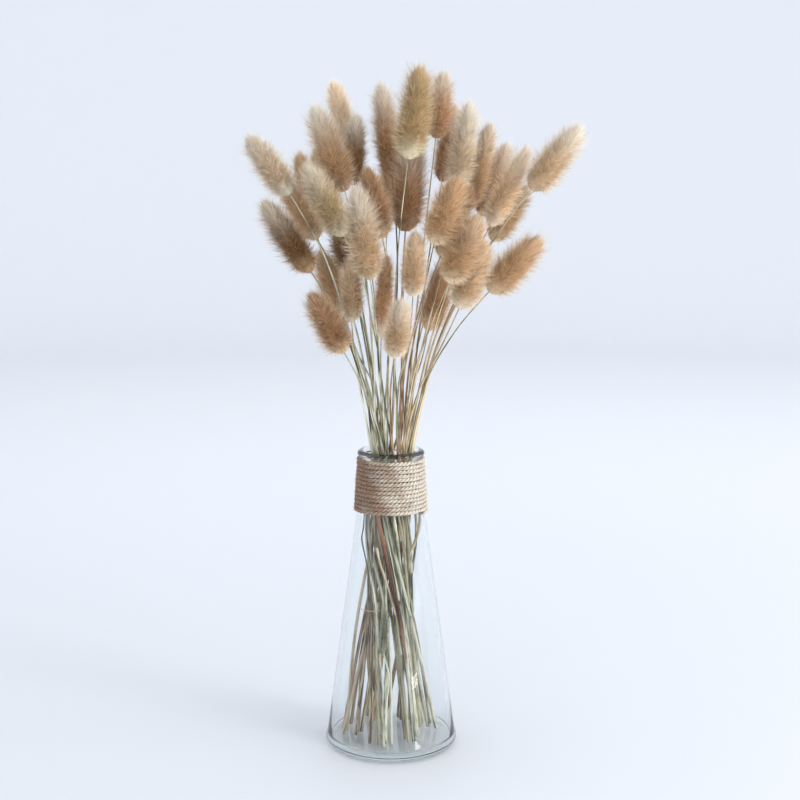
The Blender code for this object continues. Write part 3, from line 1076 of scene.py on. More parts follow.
    def roots_for(self, tip_rise: np.ndarray, rng: np.random.Generator) -> np.ndarray:
        """The share of the length at which a hair starts whose tip lies at another share.

        Args:
            tip_rise: where the hairs' tips lie.
            rng: the source of chance.

        Returns:
            Where their roots lie: above the tips at the very base, and well below them higher up.
        """
        back = read(ROOT_FALL, tip_rise)
        back = back * self.width / 2 / self.length * rng.uniform(0.75, 1.25, len(tip_rise))
        return np.clip(tip_rise - back, 0.025, 0.88)

    def tip_rises(self, count: int, rng: np.random.Generator) -> np.ndarray:
        """Shares of the length spread evenly over the head's surface.

        Args:
            count: how many there are.
            rng: the source of chance.

        Returns:
            The shares.
        """
        grid = np.linspace(0.0, 1.0, 400)
        share = np.cumsum(self.reach(grid) + self.end_cover * self.width)
        return np.interp(rng.uniform(0, 1, count), share / share[-1], grid)

    def nearest_tuft(self, rise: np.ndarray, angle: np.ndarray, rng: np.random.Generator) -> np.ndarray:
        """The tuft that each hair joins, out of tufts strewn over the head.

        Args:
            rise: where the hairs' tips lie along the head.
            angle: where they lie round it.
            rng: the source of chance.

        Returns:
            The number of each hair's tuft.
        """
        tuft_rise = rng.uniform(0, 1, self.tufts)
        tuft_angle = rng.uniform(0, TURN, self.tufts)
        along = (rise[:, None] - tuft_rise) ** 2 * (self.length / self.width) ** 2 * self.tuft_squatness
        return np.argmin(along + (1 - np.cos(angle[:, None] - tuft_angle)), axis=1)

    def add_coat(self, draft: Draft, coat: Coat, rng: np.random.Generator) -> None:
        """Add one layer of hairs, gathered in faint tufts.

        Args:
            draft: the mesh they join.
            coat: how the layer lies.
            rng: the source of chance.
        """
        count = int(coat.hairs * self.fullness)
        rise = self.tip_rises(count, rng)
        angle = rng.uniform(0, TURN, count)
        owner = self.nearest_tuft(rise, angle, rng)
        lean = rng.normal(0, self.tuft_lean, self.tufts)[owner] + rng.normal(0, self.hair_lean, count)
        freedom = read(STRAYING, rise)
        stray = rng.normal(0, self.tuft_stray, self.tufts)[owner] + rng.normal(0, coat.spread, count)
        near = 1.0 + (coat.near - 1.0) * np.clip(freedom, 0.4, 1.0)
        out = self.reach(rise) * np.clip(near + stray * freedom, self.shortest, self.longest)
        on_tip = np.clip((rise - self.rounding) / (1.0 - self.rounding), 0.0, 1.0)
        out *= rng.uniform(0, 1, count) ** (0.5 * on_tip)
        root = self.roots_for(rise, rng)
        roots = self.spot(root, angle - lean, self.heart(root) * self.root_depth)
        past = np.abs(rng.normal(0, coat.spread * 0.6, count))
        past = past / (1.0 + past / self.past_limit) * read(PAST_TIP, rise)
        tips = self.spot(rise + past, angle, out)
        beside = np.cross(self.axis, self.radial(angle))
        roll = rng.uniform(-coat.roll, coat.roll, count)
        facing = self.radial(angle) * np.cos(roll)[:, None] + beside * np.sin(roll)[:, None]
        soft = self.surface_way(rise, angle) + rng.normal(0, self.softness, (count, 3))
        normals = unit(soft * coat.velvet + facing * (1.0 - coat.velvet))
        width = rng.uniform(*coat.width, count) * MM
        clump = rng.uniform(-self.tuft_tone, self.tuft_tone, self.tufts)[owner] * read(TUFT_CONTRAST, rise)
        tuft = clump + rng.uniform(0.27, 0.73, count) + self.lighter
        values = {"tuft": tuft, "fleck": np.zeros(count), **self.bands(rise)}
        if len(coat.run) == 2:
            add_blades(draft, roots, tips, facing, width, coat.window, coat.run, normals, **values)
            return
        bulge = (self.heart(root) * 0.35 + out * 0.65) * 0.96 + 0.028 * self.width
        mids = self.spot(root * 0.45 + rise * 0.55, angle - lean * 0.45, bulge)
        add_ribbons(draft, roots, mids, tips, facing, width, self.waist, coat.window, coat.run, normals,
                    **values)

    def held_in(self, points: np.ndarray) -> np.ndarray:
        """Draw in the points that stand too far from the axis.

        Args:
            points: one row for each point.

        Returns:
            The points, none of them past the widest share of the head's width.
        """
        along = ((points - self.base) @ self.axis)[:, None] * self.axis
        out = points - self.base - along
        far = np.linalg.norm(out, axis=1, keepdims=True)
        return self.base + along + out * np.minimum(1.0, self.widest * self.width / far)

    def add_long_hairs(self, draft: Draft, rng: np.random.Generator) -> None:
        """Add the sparse long hairs that stand clear of the fur.

        Args:
            draft: the mesh they join.
            rng: the source of chance.
        """
        many = self.habit.long_hairs
        rise = self.tip_rises(many, rng) ** 0.8
        angle = rng.uniform(0, TURN, many)
        root = self.roots_for(rise, rng)
        roots = self.spot(root, angle, self.heart(root) * self.root_depth)
        way = unit(self.spot(rise, angle, self.reach(rise)) - roots)
        way = unit(way + self.radial(angle) * rng.uniform(-0.1, 0.3, many)[:, None]
                   + rng.normal(0, 0.2, (many, 3)))
        beyond = rng.uniform(*self.standing, many) * min(1.0, self.width / self.full_width)
        long = np.linalg.norm(self.spot(rise, angle, self.reach(rise)) - roots, axis=1) + beyond
        mids = roots + way * (long * 0.5)[:, None]
        onward = unit(way + self.axis * 0.25 + rng.normal(0, 0.12, (many, 3)))
        tips = self.held_in(mids + onward * (long * 0.5)[:, None])
        facing = unit(rng.normal(0, 1, (many, 3)))
        add_ribbons(draft, roots, mids, tips, facing, rng.uniform(0.17, 0.25, many) * MM, self.waist,
                    (0.0, 0.94, 0.06, 1.0), (0.1, 0.25, 0.40), facing,
                    tuft=rng.uniform(0.0, 1, many) + self.lighter, fleck=np.zeros(many),
                    **self.bands(rise * 0.5 + 0.25))

    def add_flecks(self, draft: Draft, rng: np.random.Generator) -> None:
        """Add the short dark scales that show through the fur.

        Args:
            draft: the mesh they join.
            rng: the source of chance.
        """
        many = self.habit.flecks
        rise = rng.uniform(0.12, 0.85, many)
        angle = rng.uniform(0, TURN, many)
        roots = self.spot(rise, angle, self.reach(rise) * rng.uniform(0.76, 1.0, many))
        way = unit(self.axis + self.radial(angle) * rng.uniform(0.1, 0.6, many)[:, None]
                   + rng.normal(0, 0.25, (many, 3)))
        long = rng.uniform(0.6, 1.7, many)[:, None] * MM
        mids = roots + way * long * 0.5
        add_ribbons(draft, roots, mids, roots + way * long, self.radial(angle),
                    rng.uniform(0.15, 0.30, many) * MM, 1.0, (0.06, 0.94, 0.12, 1.0), (0.2, 0.2, 0.2),
                    self.radial(angle), tuft=np.zeros(many), fleck=rng.uniform(0.3, 0.9, many),
                    **self.bands(rise))

    def build(self, name: str, rng: np.random.Generator,
              materials: Dict[Look, bpy.types.Material]) -> bpy.types.Object:
        """Build the head.

        Args:
            name: the piece's name.
            rng: the source of chance.
            materials: the material of each look.

        Returns:
            The head's mesh object.
        """
        draft = Draft()
        self.add_heart(draft, rng)
        for coat in (UNDERCOAT, FUR, FRINGE):
            self.add_coat(draft, coat, rng)
        self.add_long_hairs(draft, rng)
        if self.habit.flecks:
            self.add_flecks(draft, rng)
        return draft.build(name, materials[self.habit.look])


def add_straw(draft: Draft, line: np.ndarray, radii: np.ndarray, joint: np.ndarray, luck: float,
              rng: np.random.Generator, sides: int = 10, flat: float = 0.9) -> None:
    """Add a round straw with its cut foot hollow and its far end closed.

    Args:
        draft: the mesh it joins.
        line: its middle, from the cut foot.
        radii: its radius at each station.
        joint: how dark it is at each station, from dark joints and from painted shade.
        luck: a number of its own, from 0 to 1, that sets its colour apart.
        rng: the source of chance.
        sides: how many points go round it.
        flat: its thickness one way over its thickness the other.
    """
    count = len(line)
    points, angle = tube(line, radii, sides, ribs=0.05, rib_count=5,
                         flat=flat * rng.uniform(0.92, 1.08), start=rng.uniform(0, 6))
    along = run_along(line)
    turn = np.tile(np.stack([np.cos(angle), np.sin(angle)], axis=1), (count, 1)) + luck * 40.0
    skin = np.column_stack([turn, np.repeat(along, sides) * 3.0 + luck * 17.0])
    draft.add(points, [grid_faces(count, sides, True)],
              [grid_map(count, sides, True, (0.0, 0.0, 0.5, 0.97))],
              skin=skin, wrap=np.zeros(len(points)), luck=np.full(len(points), luck),
              joint=np.repeat(joint, sides))
    step = np.arange(sides)
    many = sides + 1
    fan = np.stack([step, np.full(sides, sides), (step + 1) % sides], 1)
    place = np.array([(0.0, 0.975), (0.02, 0.99), (0.04, 0.975)])
    for ring, middle, dark in ((points[:sides], line[0] + (line[1] - line[0]) * 0.2, 0.9),
                               (points[-sides:][::-1], line[-1], 0.3)):
        draft.add(np.vstack([ring, middle]), [fan], [np.tile(place, (sides, 1, 1))],
                  skin=np.tile(skin[:1], (many, 1)), wrap=np.zeros(many), luck=np.full(many, luck),
                  joint=np.full(many, dark))


# Painted shade on a stem inside the vase and, darker, in the neck under the twine, over its height above the
# rim in metres.
RIM_PAINTED_SHADE: Curve = ((-0.05, 0.28), (-0.02, 0.9), (-0.005, 0.9), (0.003, 0.0))
# Curves over the share of a sheath's length: how much of its span it keeps, how far it stands off the stem in
# millimetres, and how dark it is.
SHEATH_SPAN: Curve = ((0.0, 1.0), (0.72, 0.9), (0.9, 0.5), (1.0, 0.1))
SHEATH_GAP: Curve = ((0.0, 0.10), (0.8, 0.28), (1.0, 0.70))
SHEATH_DARK: Curve = ((0.0, 0.5), (0.05, 0.0), (0.9, 0.0), (1.0, 0.35))


@dataclass
class Stalk:
    """One stalk of grass, laid along its solid in the frame."""

    number: int
    habit: Habit
    foot_radius: float = 1.15 * MM
    rim_radius: float = 0.80 * MM
    head_radius: float = 0.34 * MM
    stations: int = 72
    points_round: int = 8
    stem_rings: int = 7
    joint_length: float = 1.6 * MM
    joint_swell: float = 0.18
    sheath_at_foot: float = 0.55
    sheath_columns: int = 11
    sheath_share: Tuple[float, float] = (0.154, 0.33)
    sheath_span: float = math.radians(330)

    @property
    def node(self) -> str:
        """The name of the frame's node that this stalk dresses."""
        return f"bunny_tail_{self.number:02d}"

    def rings(self, frame: Dict[str, object]) -> np.ndarray:
        """Read the rings of points round the solid stalk, from its foot to its tip.


        Returns:
            An array of rings, each of eight points.
        """
        mesh = frame["nodes"][self.node].data
        raw = np.array([vertex.co for vertex in mesh.vertices], float)
        keys, owner = np.unique(np.round(raw / 1e-6).astype(int), axis=0, return_inverse=True)
        owner = owner.ravel()
        points = keys * 1e-6
        beside: List[set] = [set() for _ in points]
        for face in mesh.polygons:
            joined = {int(owner[i]) for i in face.vertices}
            for one in joined:
                beside[one] |= joined
        ring = set(np.argsort(points[:, 2])[:self.points_round].tolist())
        seen = set(ring)
        rings = [sorted(ring)]
        while len(seen) < len(points):
            ring = set().union(*(beside[i] for i in ring)) - seen
            seen |= ring
            rings.append(sorted(ring))
        return np.array([points[r] for r in rings])

    def build_head(self, rings: np.ndarray, rng: np.random.Generator,
                   materials: Dict[Look, bpy.types.Material]) -> bpy.types.Object:
        """Build the flower head on the solid's last rings.

        Args:
            rings: the solid's rings.
            rng: the source of chance.
            materials: the material of each look.

        Returns:
            The head's mesh object.
        """
        middles = rings.mean(axis=1)
        base, tip = middles[self.stem_rings - 1], middles[-1]
        widest = rings[self.stem_rings + 2]
        width = 2 * np.linalg.norm(widest - widest.mean(axis=0), axis=1).mean()
        head = FlowerHead(base, unit(tip - base), float(np.linalg.norm(tip - base)), float(width),
                          self.habit)
        return head.build(f"{self.node}_head", rng, materials)

    def build_stem(self, rings: np.ndarray, rng: np.random.Generator, rim: float,
                   materials: Dict[Straw, bpy.types.Material]) -> bpy.types.Object:
        """Build the stem with the sheath round its foot.

        Args:
            rings: the solid's rings.
            rng: the source of chance.
            rim: the height of the vase's rim.
            materials: the material of each kind of straw.

        Returns:
            The stem's mesh object.
        """
        middles = rings.mean(axis=1)[:self.stem_rings + 1]
        line = smooth_line(middles, self.stations)
        top = line[-1, 2]
        radii = np.interp(line[:, 2], (0.0, rim, top), (self.foot_radius, self.rim_radius, self.head_radius))
        radii *= 1.0 + rng.uniform(-0.12, 0.12)
        joint = np.zeros(self.stations)
        knees = (rng.uniform(0.3, 0.7) * rim, rng.uniform(1.15, 1.5) * rim)
        for height in knees:
            near = np.exp(-((line[:, 2] - height) / self.joint_length) ** 2)
            radii = radii * (1.0 + self.joint_swell * near)
            joint = np.maximum(joint, near)
        # Painted shade on the stem's top under its head, and on the stem inside the vase and in the neck.
        share = np.linspace(0.0, 1.0, self.stations)
        joint = np.maximum(joint, np.interp(share, (0.5, 0.95), (0.0, self.habit.top_painted_shade)))
        joint = np.maximum(joint, read(RIM_PAINTED_SHADE, line[:, 2] - rim))
        draft = Draft()
        luck = rng.uniform()
        add_straw(draft, line, radii, joint, luck, rng)
        at_foot = rng.uniform() < self.sheath_at_foot
        start = 0 if at_foot else int(np.searchsorted(line[:, 2], knees[0]))
        self.add_sheath(draft, line, radii, luck, start, rng)
        return draft.build(f"{self.node}_stem", materials[self.habit.straw])

    def add_sheath(self, draft: Draft, line: np.ndarray, radii: np.ndarray, luck: float, low: int,
                   rng: np.random.Generator) -> None:
        """Add a dry leaf sheath, open along one side and torn to a point at its top.

        Args:
            draft: the mesh it joins.
            line: the middle of the stem.
            radii: the stem's radius at each station.
            luck: the stem's own number.
            low: the station where it starts, at the foot or at a joint.
            rng: the source of chance.
        """
        rows = int(self.stations * rng.uniform(*self.sheath_share))
        columns = self.sheath_columns
        path = line[low:low + rows]
        _, across, over = carried_frames(line)
        across, over = across[low:low + rows], over[low:low + rows]
        share = np.linspace(0.0, 1.0, rows)
        span = self.sheath_span * read(SHEATH_SPAN, share)
        turn = rng.uniform(0, 6) + share * rng.uniform(-1.2, 1.2)
        out = radii[low:low + rows] + read(SHEATH_GAP, share) * MM
        fan = np.linspace(-0.5, 0.5, columns)
        angle = turn[:, None] + span[:, None] * fan[None, :]
        lift = 1.0 + 0.10 * np.abs(fan)[None, :] + 0.04 * np.cos(fan * 40)[None, :]
        radial = np.cos(angle)[..., None] * across[:, None, :] + np.sin(angle)[..., None] * over[:, None, :]
        points = (path[:, None, :] + radial * (out[:, None] * lift)[..., None]).reshape(-1, 3)
        many = rows * columns
        skin = np.column_stack([np.cos(angle).ravel() * 1.4 + luck * 23, np.sin(angle).ravel() * 1.4,
                                np.repeat(share, columns) * 0.25 + luck * 11])
        draft.add(points, [grid_faces(rows, columns, False)],
                  [grid_map(rows, columns, False, (0.52, 0.0, 1.0, 0.97))],
                  skin=skin, wrap=np.full(many, 1.0), luck=np.full(many, luck),
                  joint=np.repeat(read(SHEATH_DARK, share), columns))


@dataclass(frozen=True)
class Scrap:
    """A broken straw inside the vase: the places it passes through and its thickness, in millimetres.

    It is flat by the last of its thickness over its width, and dark by the shares given along it.
    """

    places: Tuple[Tuple[float, float, float], ...]
    thick: Tuple[float, float]
    straw: Straw
    flat: float = 0.9
    dark: Tuple[float, ...] = (0.0,)


@dataclass
class LooseStraws:
    """The odds and ends among the stems: broken straws, a flat blade and one small unripe head.

    Places and widths are in millimetres.
    """

    slot: str = "dried_grass_tan"
    seed: int = 77
    stations: int = 30
    scraps: Tuple[Scrap, ...] = (
        # A thin dark side stalk.
        Scrap(((-13, -12, 96), (-13, -13, 111), (-15, -13, 124), (-18, -12, 143), (-17, -12, 150),
               (-16, -11, 166)), (0.9, 0.8), Straw.OLIVE, 0.9, (0.95,)),
        # A flat red-brown leaf blade.
        Scrap(((10, -27, 66), (7, -26, 84), (3, -23.5, 104), (-2, -20.5, 128), (-5, -18, 143),
               (-8, -15, 156), (-10, -12, 174)), (1.4, 3.8), Straw.RED, 0.35,
              (0.5, 0.5, 1.0, 0.9, 0.35, 0.1, 0.0)),
        # A pale split straw in front of it.
        Scrap(((3, -22, 94), (-1, -21.5, 110), (-4, -20.5, 120), (-7, -19, 129), (-9, -17.5, 138)),
              (1.0, 2.0), Straw.STRAW, 0.45),
        # A short straw that lies across.
        Scrap(((-19, -22, 98), (-13, -23, 97), (-7, -24, 97.5)), (0.5, 0.7), Straw.STRAW),
        # The small unripe head's own stem.
        Scrap(((-4, -24, 28), (-3, -24, 36), (-1.5, -24, 47), (-1.5, -24, 55), (-3, -24, 62),
               (-4.5, -24, 69)), (1.5, 1.2), Straw.SAGE, 0.7, (0.1,)),
        # A dark shred on the floor.
        Scrap(((-5, -14, 7.2), (-7, -13, 7.6), (-8.2, -12.5, 10), (-8, -12, 14)), (0.8, 0.6), Straw.OLIVE,
              0.9, (1.0,)),
    )
    head_base: Tuple[float, float, float] = (-5.5, -24, 68)
    head_tip: Tuple[float, float, float] = (-2.5, -22.5, 97)
    head_width: float = 5.0

    def build(self, straws: Dict[Straw, bpy.types.Material],
              heads: Dict[Look, bpy.types.Material]) -> List[bpy.types.Object]:
        """Build the loose pieces.

        Args:
            straws: the material of each kind of straw.
            heads: the material of each look of a head.

        Returns:
            The pieces.
        """
        rng = np.random.default_rng(self.seed)
        made = []
        for number, scrap in enumerate(self.scraps, start=1):
            line = smooth_line(np.array(scrap.places) * MM, self.stations)
            radii = np.linspace(*scrap.thick, self.stations) / 2 * MM
            draft = Draft()
            share = np.linspace(0, 1, self.stations)
            dark = np.interp(share, np.linspace(0, 1, len(scrap.dark)), scrap.dark)
            add_straw(draft, line, radii, dark, rng.uniform(0.3, 0.7), rng, 8, scrap.flat)
            made.append(draft.build(f"loose_straw_{number}", straws[scrap.straw]))
        base, tip = np.array(self.head_base) * MM, np.array(self.head_tip) * MM
        habit = Habit(Look.UNRIPE, Straw.SAGE, flecks=60, long_hairs=40)
        head = FlowerHead(base, unit(tip - base), float(np.linalg.norm(tip - base)), self.head_width * MM,
                          habit, 0.16, 60)
        made.append(head.build("loose_small_head", rng, heads))
        for piece in made:
            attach(piece, BODY)
        return made


# ---------------------------------------------------------------- the vase


@dataclass
class GlassVase:
    """A straight cone of thick clear glass with a heavy base and a rounded lip.

    Its sizes are in millimetres. The base's radius and the height come from the frame.
    """

    node: str = "glass_vase"
    steps: int = 240
    wall: float = 2.7
    floor: float = 6.0
    heel: float = 5.0
    inner_heel: float = 1.8
    shoulder_height: float = 160.0
    shoulder_radius: float = 22.2
    neck_radius: float = 19.6
    lip_radius: float = 22.1
    lip_height: float = 4.4
    mouth_edge: float = 1.2
    mouth_flare: float = 1.8
    neck_drop: float = 8.0
    stand: float = 0.02

    def arc(self, middle: Tuple[float, float], radius: float, start: float, end: float,
            count: int) -> List[Tuple[float, float]]:
        """Points along an arc in the turning plane, with its angles in degrees."""
        angles = np.radians(np.linspace(start, end, count))
        return [(middle[0] + radius * math.cos(a), middle[1] + radius * math.sin(a)) for a in angles]

    def profile(self, base: float, height: float) -> List[Tuple[float, float]]:
        """The section of the glass, from the middle underneath to the middle of the inner floor.

        Args:
            base: the radius of the base, in millimetres.
            height: the height of the lip, in millimetres.

        Returns:
            Points of (radius, height), in millimetres.
        """
        lean = math.degrees(math.atan2(base - self.shoulder_radius, self.shoulder_height))
        lip = self.lip_height / 2
        under = [(0.001, self.stand), (base * 0.4, self.stand), (base * 0.8, self.stand)]
        heel = self.arc((base - self.heel, self.heel), self.heel, -82, lean, 14)
        cone = [(base + (self.shoulder_radius - base) * s, self.shoulder_height * s)
                for s in (0.06, 0.2, 0.4, 0.6, 0.8, 0.94)]
        under_lip = height - self.lip_height
        shoulder = (self.shoulder_radius - 0.25, self.shoulder_height + 1.5)
        neck = [shoulder, (self.neck_radius + 0.6, under_lip - self.neck_drop),
                (self.neck_radius, under_lip - 1)]
        outer_lip = self.arc((self.lip_radius - lip, height - lip), lip, -78, 88, 12)
        mouth = self.neck_radius - self.wall
        inner_lip = [(mouth + self.mouth_flare, height), (mouth + self.mouth_flare - 0.7, height - 0.35),
                     (mouth + self.mouth_flare - self.mouth_edge, height - self.mouth_edge),
                     (mouth + 0.15, height - self.lip_height * 0.7), (mouth, under_lip)]
        inside = [(mouth + 0.5, under_lip - self.neck_drop), (shoulder[0] - self.wall, shoulder[1])]
        inside += [(base - self.wall + (self.shoulder_radius - base) * s, self.shoulder_height * s)
                   for s in (0.94, 0.8, 0.6, 0.4, 0.2, 0.09)]
        bowl = self.arc((base - self.wall - self.inner_heel - 0.8, self.floor + self.inner_heel),
                        self.inner_heel, lean, -88, 14)
        flat = [(base * 0.5, self.floor - 0.05), (base * 0.2, self.floor - 0.1), (0.001, self.floor - 0.1)]
        return under + heel + cone + neck + outer_lip + inner_lip + inside + bowl + flat

    def build(self) -> bpy.types.Object:
        """Turn the section and dress it in clear glass.

        Returns:
            The vase.
        """
        low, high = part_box(self.node)
        base, height = high.x / MM, high.z / MM
        section = np.array(self.profile(base, height)) * MM
        section[:, 1] = np.maximum(section[:, 1], self.stand * MM)
        angle = around(self.steps)
        rows = len(section)
        points = np.stack([section[:, :1] * np.cos(angle), section[:, :1] * np.sin(angle),
                           np.repeat(section[:, 1:], self.steps, axis=1)], axis=-1).reshape(-1, 3)
        draft = Draft()
        draft.add(points, [grid_faces(rows, self.steps, True)],
                  [grid_map(rows, self.steps, True, (0, 0, 1, 1))])
        vase = draft.build("glass_vase_clear", GlassFinish().make())
        vase.visible_shadow = False  # clear glass lets daylight through to what stands in it
        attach(vase, BODY)
        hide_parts(self.node)
        return vase


@dataclass
class TwineWrap:
    """Jute twine of two plies, wound down the neck turn upon turn.

    The lay is the length of twine in which its plies go round one another once.
    """

    node: str = "twine_wrap"
    turns: float = 13.23
    diameter: float = 2.9 * MM
    plies: int = 2
    lay: float = 5.6 * MM
    stations_per_lay: int = 11
    sides: int = 5
    fibres: int = 2600
    start_angle: float = math.radians(-28)
    taper: float = 2.3 * MM
    stand_off: float = 0.5 * MM
    below: float = 2.0 * MM
    wander: float = 0.17 * MM
    route_seed: int = 11
    fibre_seed: int = 12
    ply_seed: int = 20

    def route(self) -> np.ndarray:
        """The middle of the twine, from the lip down to the shoulder.

        Returns:
            One row for each station.
        """
        low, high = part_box(self.node)
        bottom_radius = high.x + self.stand_off - self.diameter / 2
        top_radius = bottom_radius - self.taper
        length = TURN * (bottom_radius + top_radius) / 2 * self.turns
        count = int(length / self.lay * self.stations_per_lay)
        share = np.linspace(0.0, 1.0, count)
        angle = self.start_angle + TURN * self.turns * (1 - share)
        rng = np.random.default_rng(self.route_seed)
        knots = rng.normal(0, self.wander, (2, int(self.turns * 9)))
        wander = [np.interp(share * (knots.shape[1] - 1), np.arange(knots.shape[1]), k) for k in knots]
        radius = top_radius + (bottom_radius - top_radius) * share + wander[0]
        top = high.z - self.diameter / 2
        bottom = low.z + self.diameter / 2 - self.below
        height = top + (bottom - top) * self.descent(share * self.turns) / self.turns + wander[1] * 0.45
        return np.stack([radius * np.cos(angle), radius * np.sin(angle), height], axis=1)

    def descent(self, turn: np.ndarray) -> np.ndarray:
        """How many turns down the twine has come.

        The top turn lies level under the lip and steps down at the back. Further down the turns
        run more and more in an even spiral.

        Args:
            turn: the turns wound so far.

        Returns:
            The drop, in turns.
        """
        part = np.clip((turn % 1.0 - 0.72) / 0.28, 0.0, 1.0)
        stepped = np.floor(turn) + eased(part)
        evenness = np.clip(turn / self.turns, 0.0, 1.0)
        return stepped + (turn - stepped) * evenness

    def brown(self, places: np.ndarray) -> np.ndarray:
        """How brown the jute is: brown fibres, and painted shade towards -X, away from the light.

        Args:
            places: one row for each place.

        Returns:
            A share from 0 to 1 at each.
        """
        x, y, z = (places / MM).T
        drift = np.sin(x * 0.31 + z * 0.17 + 1.0) * 0.5 + np.sin(z * 0.55 - y * 0.23) * 0.3 \
            + np.sin(x * 0.9 + y * 0.7 + z * 1.3) * 0.2
        return np.clip(0.35 - x / 26.0 + drift * 0.38, 0.0, 1.0)

    def add_ply(self, draft: Draft, line: np.ndarray, frames: Tuple[np.ndarray, ...], number: int) -> None:
        """Add one ply, winding round the middle of the twine.

        Args:
            draft: the mesh it joins.
            line: the middle of the twine.
            frames: the ways along and across it.
            number: which ply this is.
        """
        _, across, over = frames
        run = run_along(line)
        turn = number * TURN / self.plies - run / self.lay * TURN
        thick = self.diameter * 0.28
        offset = self.diameter / 2 - thick
        out = np.cos(turn)[:, None] * across + np.sin(turn)[:, None] * over
        middle = line + out * offset
        knots = np.random.default_rng(self.ply_seed + number).normal(0, 0.10, int(run[-1] / self.lay * 2))
        swell = 1.0 + np.interp(run, np.linspace(0, run[-1], len(knots)), knots)
        points, angle = tube(middle, thick * swell, self.sides)
        inward = points.reshape(len(line), self.sides, 3) - line[:, None, :]
        # How deep into the twine a point lies: this sets the painted shade in its creases.
        depth = 1.0 - np.clip(np.linalg.norm(inward, axis=2) / (self.diameter / 2), 0, 1)
        skin = np.column_stack([np.repeat(run, self.sides) / MM * 0.5,
                                (np.tile(angle, len(line)) / math.pi + np.repeat(turn, self.sides) * 0.3),
                                np.full(len(points), number * 9.0)])
        bottom = number / self.plies
        draft.add(points, [grid_faces(len(line), self.sides, True)],
                  [grid_map(len(line), self.sides, True, (0.0, bottom, 1.0, bottom + 0.30))],
                  skin=skin, depth=np.clip(depth * 2.4 - 0.1, 0, 1).ravel(), run=np.repeat(run, self.sides),
                  brown=np.repeat(self.brown(line), self.sides))

    def add_fibres(self, draft: Draft, line: np.ndarray) -> None:
        """Add stray fibres that stand off the twine.

        Args:
            draft: the mesh they join.
            line: the middle of the twine.
        """
        rng = np.random.default_rng(self.fibre_seed)
        pick = rng.integers(2, len(line) - 2, self.fibres)
        along = unit(line[pick + 1] - line[pick])
        radial = unit(line[pick] * (1, 1, 0))
        up = np.array([0.0, 0.0, 1.0])
        roots = line[pick] + radial * self.diameter * 0.42 \
            + up * rng.uniform(-0.45, 0.45, self.fibres)[:, None] * self.diameter
        way = unit(along * rng.choice([-1, 1], self.fibres)[:, None]
                   + radial * rng.uniform(0.05, 0.6, self.fibres)[:, None]
                   + up * rng.normal(0, 0.5, self.fibres)[:, None])
        long = rng.gamma(1.8, 0.7, self.fibres).clip(0.5, 5.0) * MM
        mids = roots + way * (long / 2)[:, None]
        tips = mids + unit(way + rng.normal(0, 0.5, (self.fibres, 3))) * (long / 2)[:, None]
        add_ribbons(draft, roots, mids, tips, radial, rng.uniform(0.10, 0.18, self.fibres) * MM, 0.9,
                    (0.0, 0.97, 0.03, 1.0), depth=np.zeros(self.fibres))
        draft.values["skin"].append(np.repeat(rng.uniform(0, 900, (self.fibres, 3)), 5, axis=0))
        draft.values["brown"].append(np.repeat(self.brown(roots), 5))

    def build(self) -> bpy.types.Object:
        """Wind the twine.

        Returns:
            The twine's mesh object.
        """
        line = self.route()
        along = unit(np.gradient(line, axis=0))
        across = unit(line * (1, 1, 0))
        across = unit(across - along * (across * along).sum(axis=1, keepdims=True))
        frames = (along, across, np.cross(along, across))
        draft = Draft()
        for number in range(self.plies):
            self.add_ply(draft, line, frames, number)
        self.add_fibres(draft, line)
        twine = draft.build("jute_twine_wound", TwineFinish().make())
        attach(twine, BODY)
        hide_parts(self.node)
        return twine


# ---------------------------------------------------------------- the studio


@dataclass(frozen=True)
class Lamp:
    """A soft rectangular light: where it stands, what it faces, and what it does.

    Mirrored lights show as highlights in glass and gloss, and lighting ones light what they face.
    """

    name: str
    place: Tuple[float, float, float]
    aim: Tuple[float, float, float]
    size: Tuple[float, float]
    power: float
    colour: Colour = (1.0, 0.985, 0.96)
    mirrored: bool = True
    lighting: bool = True


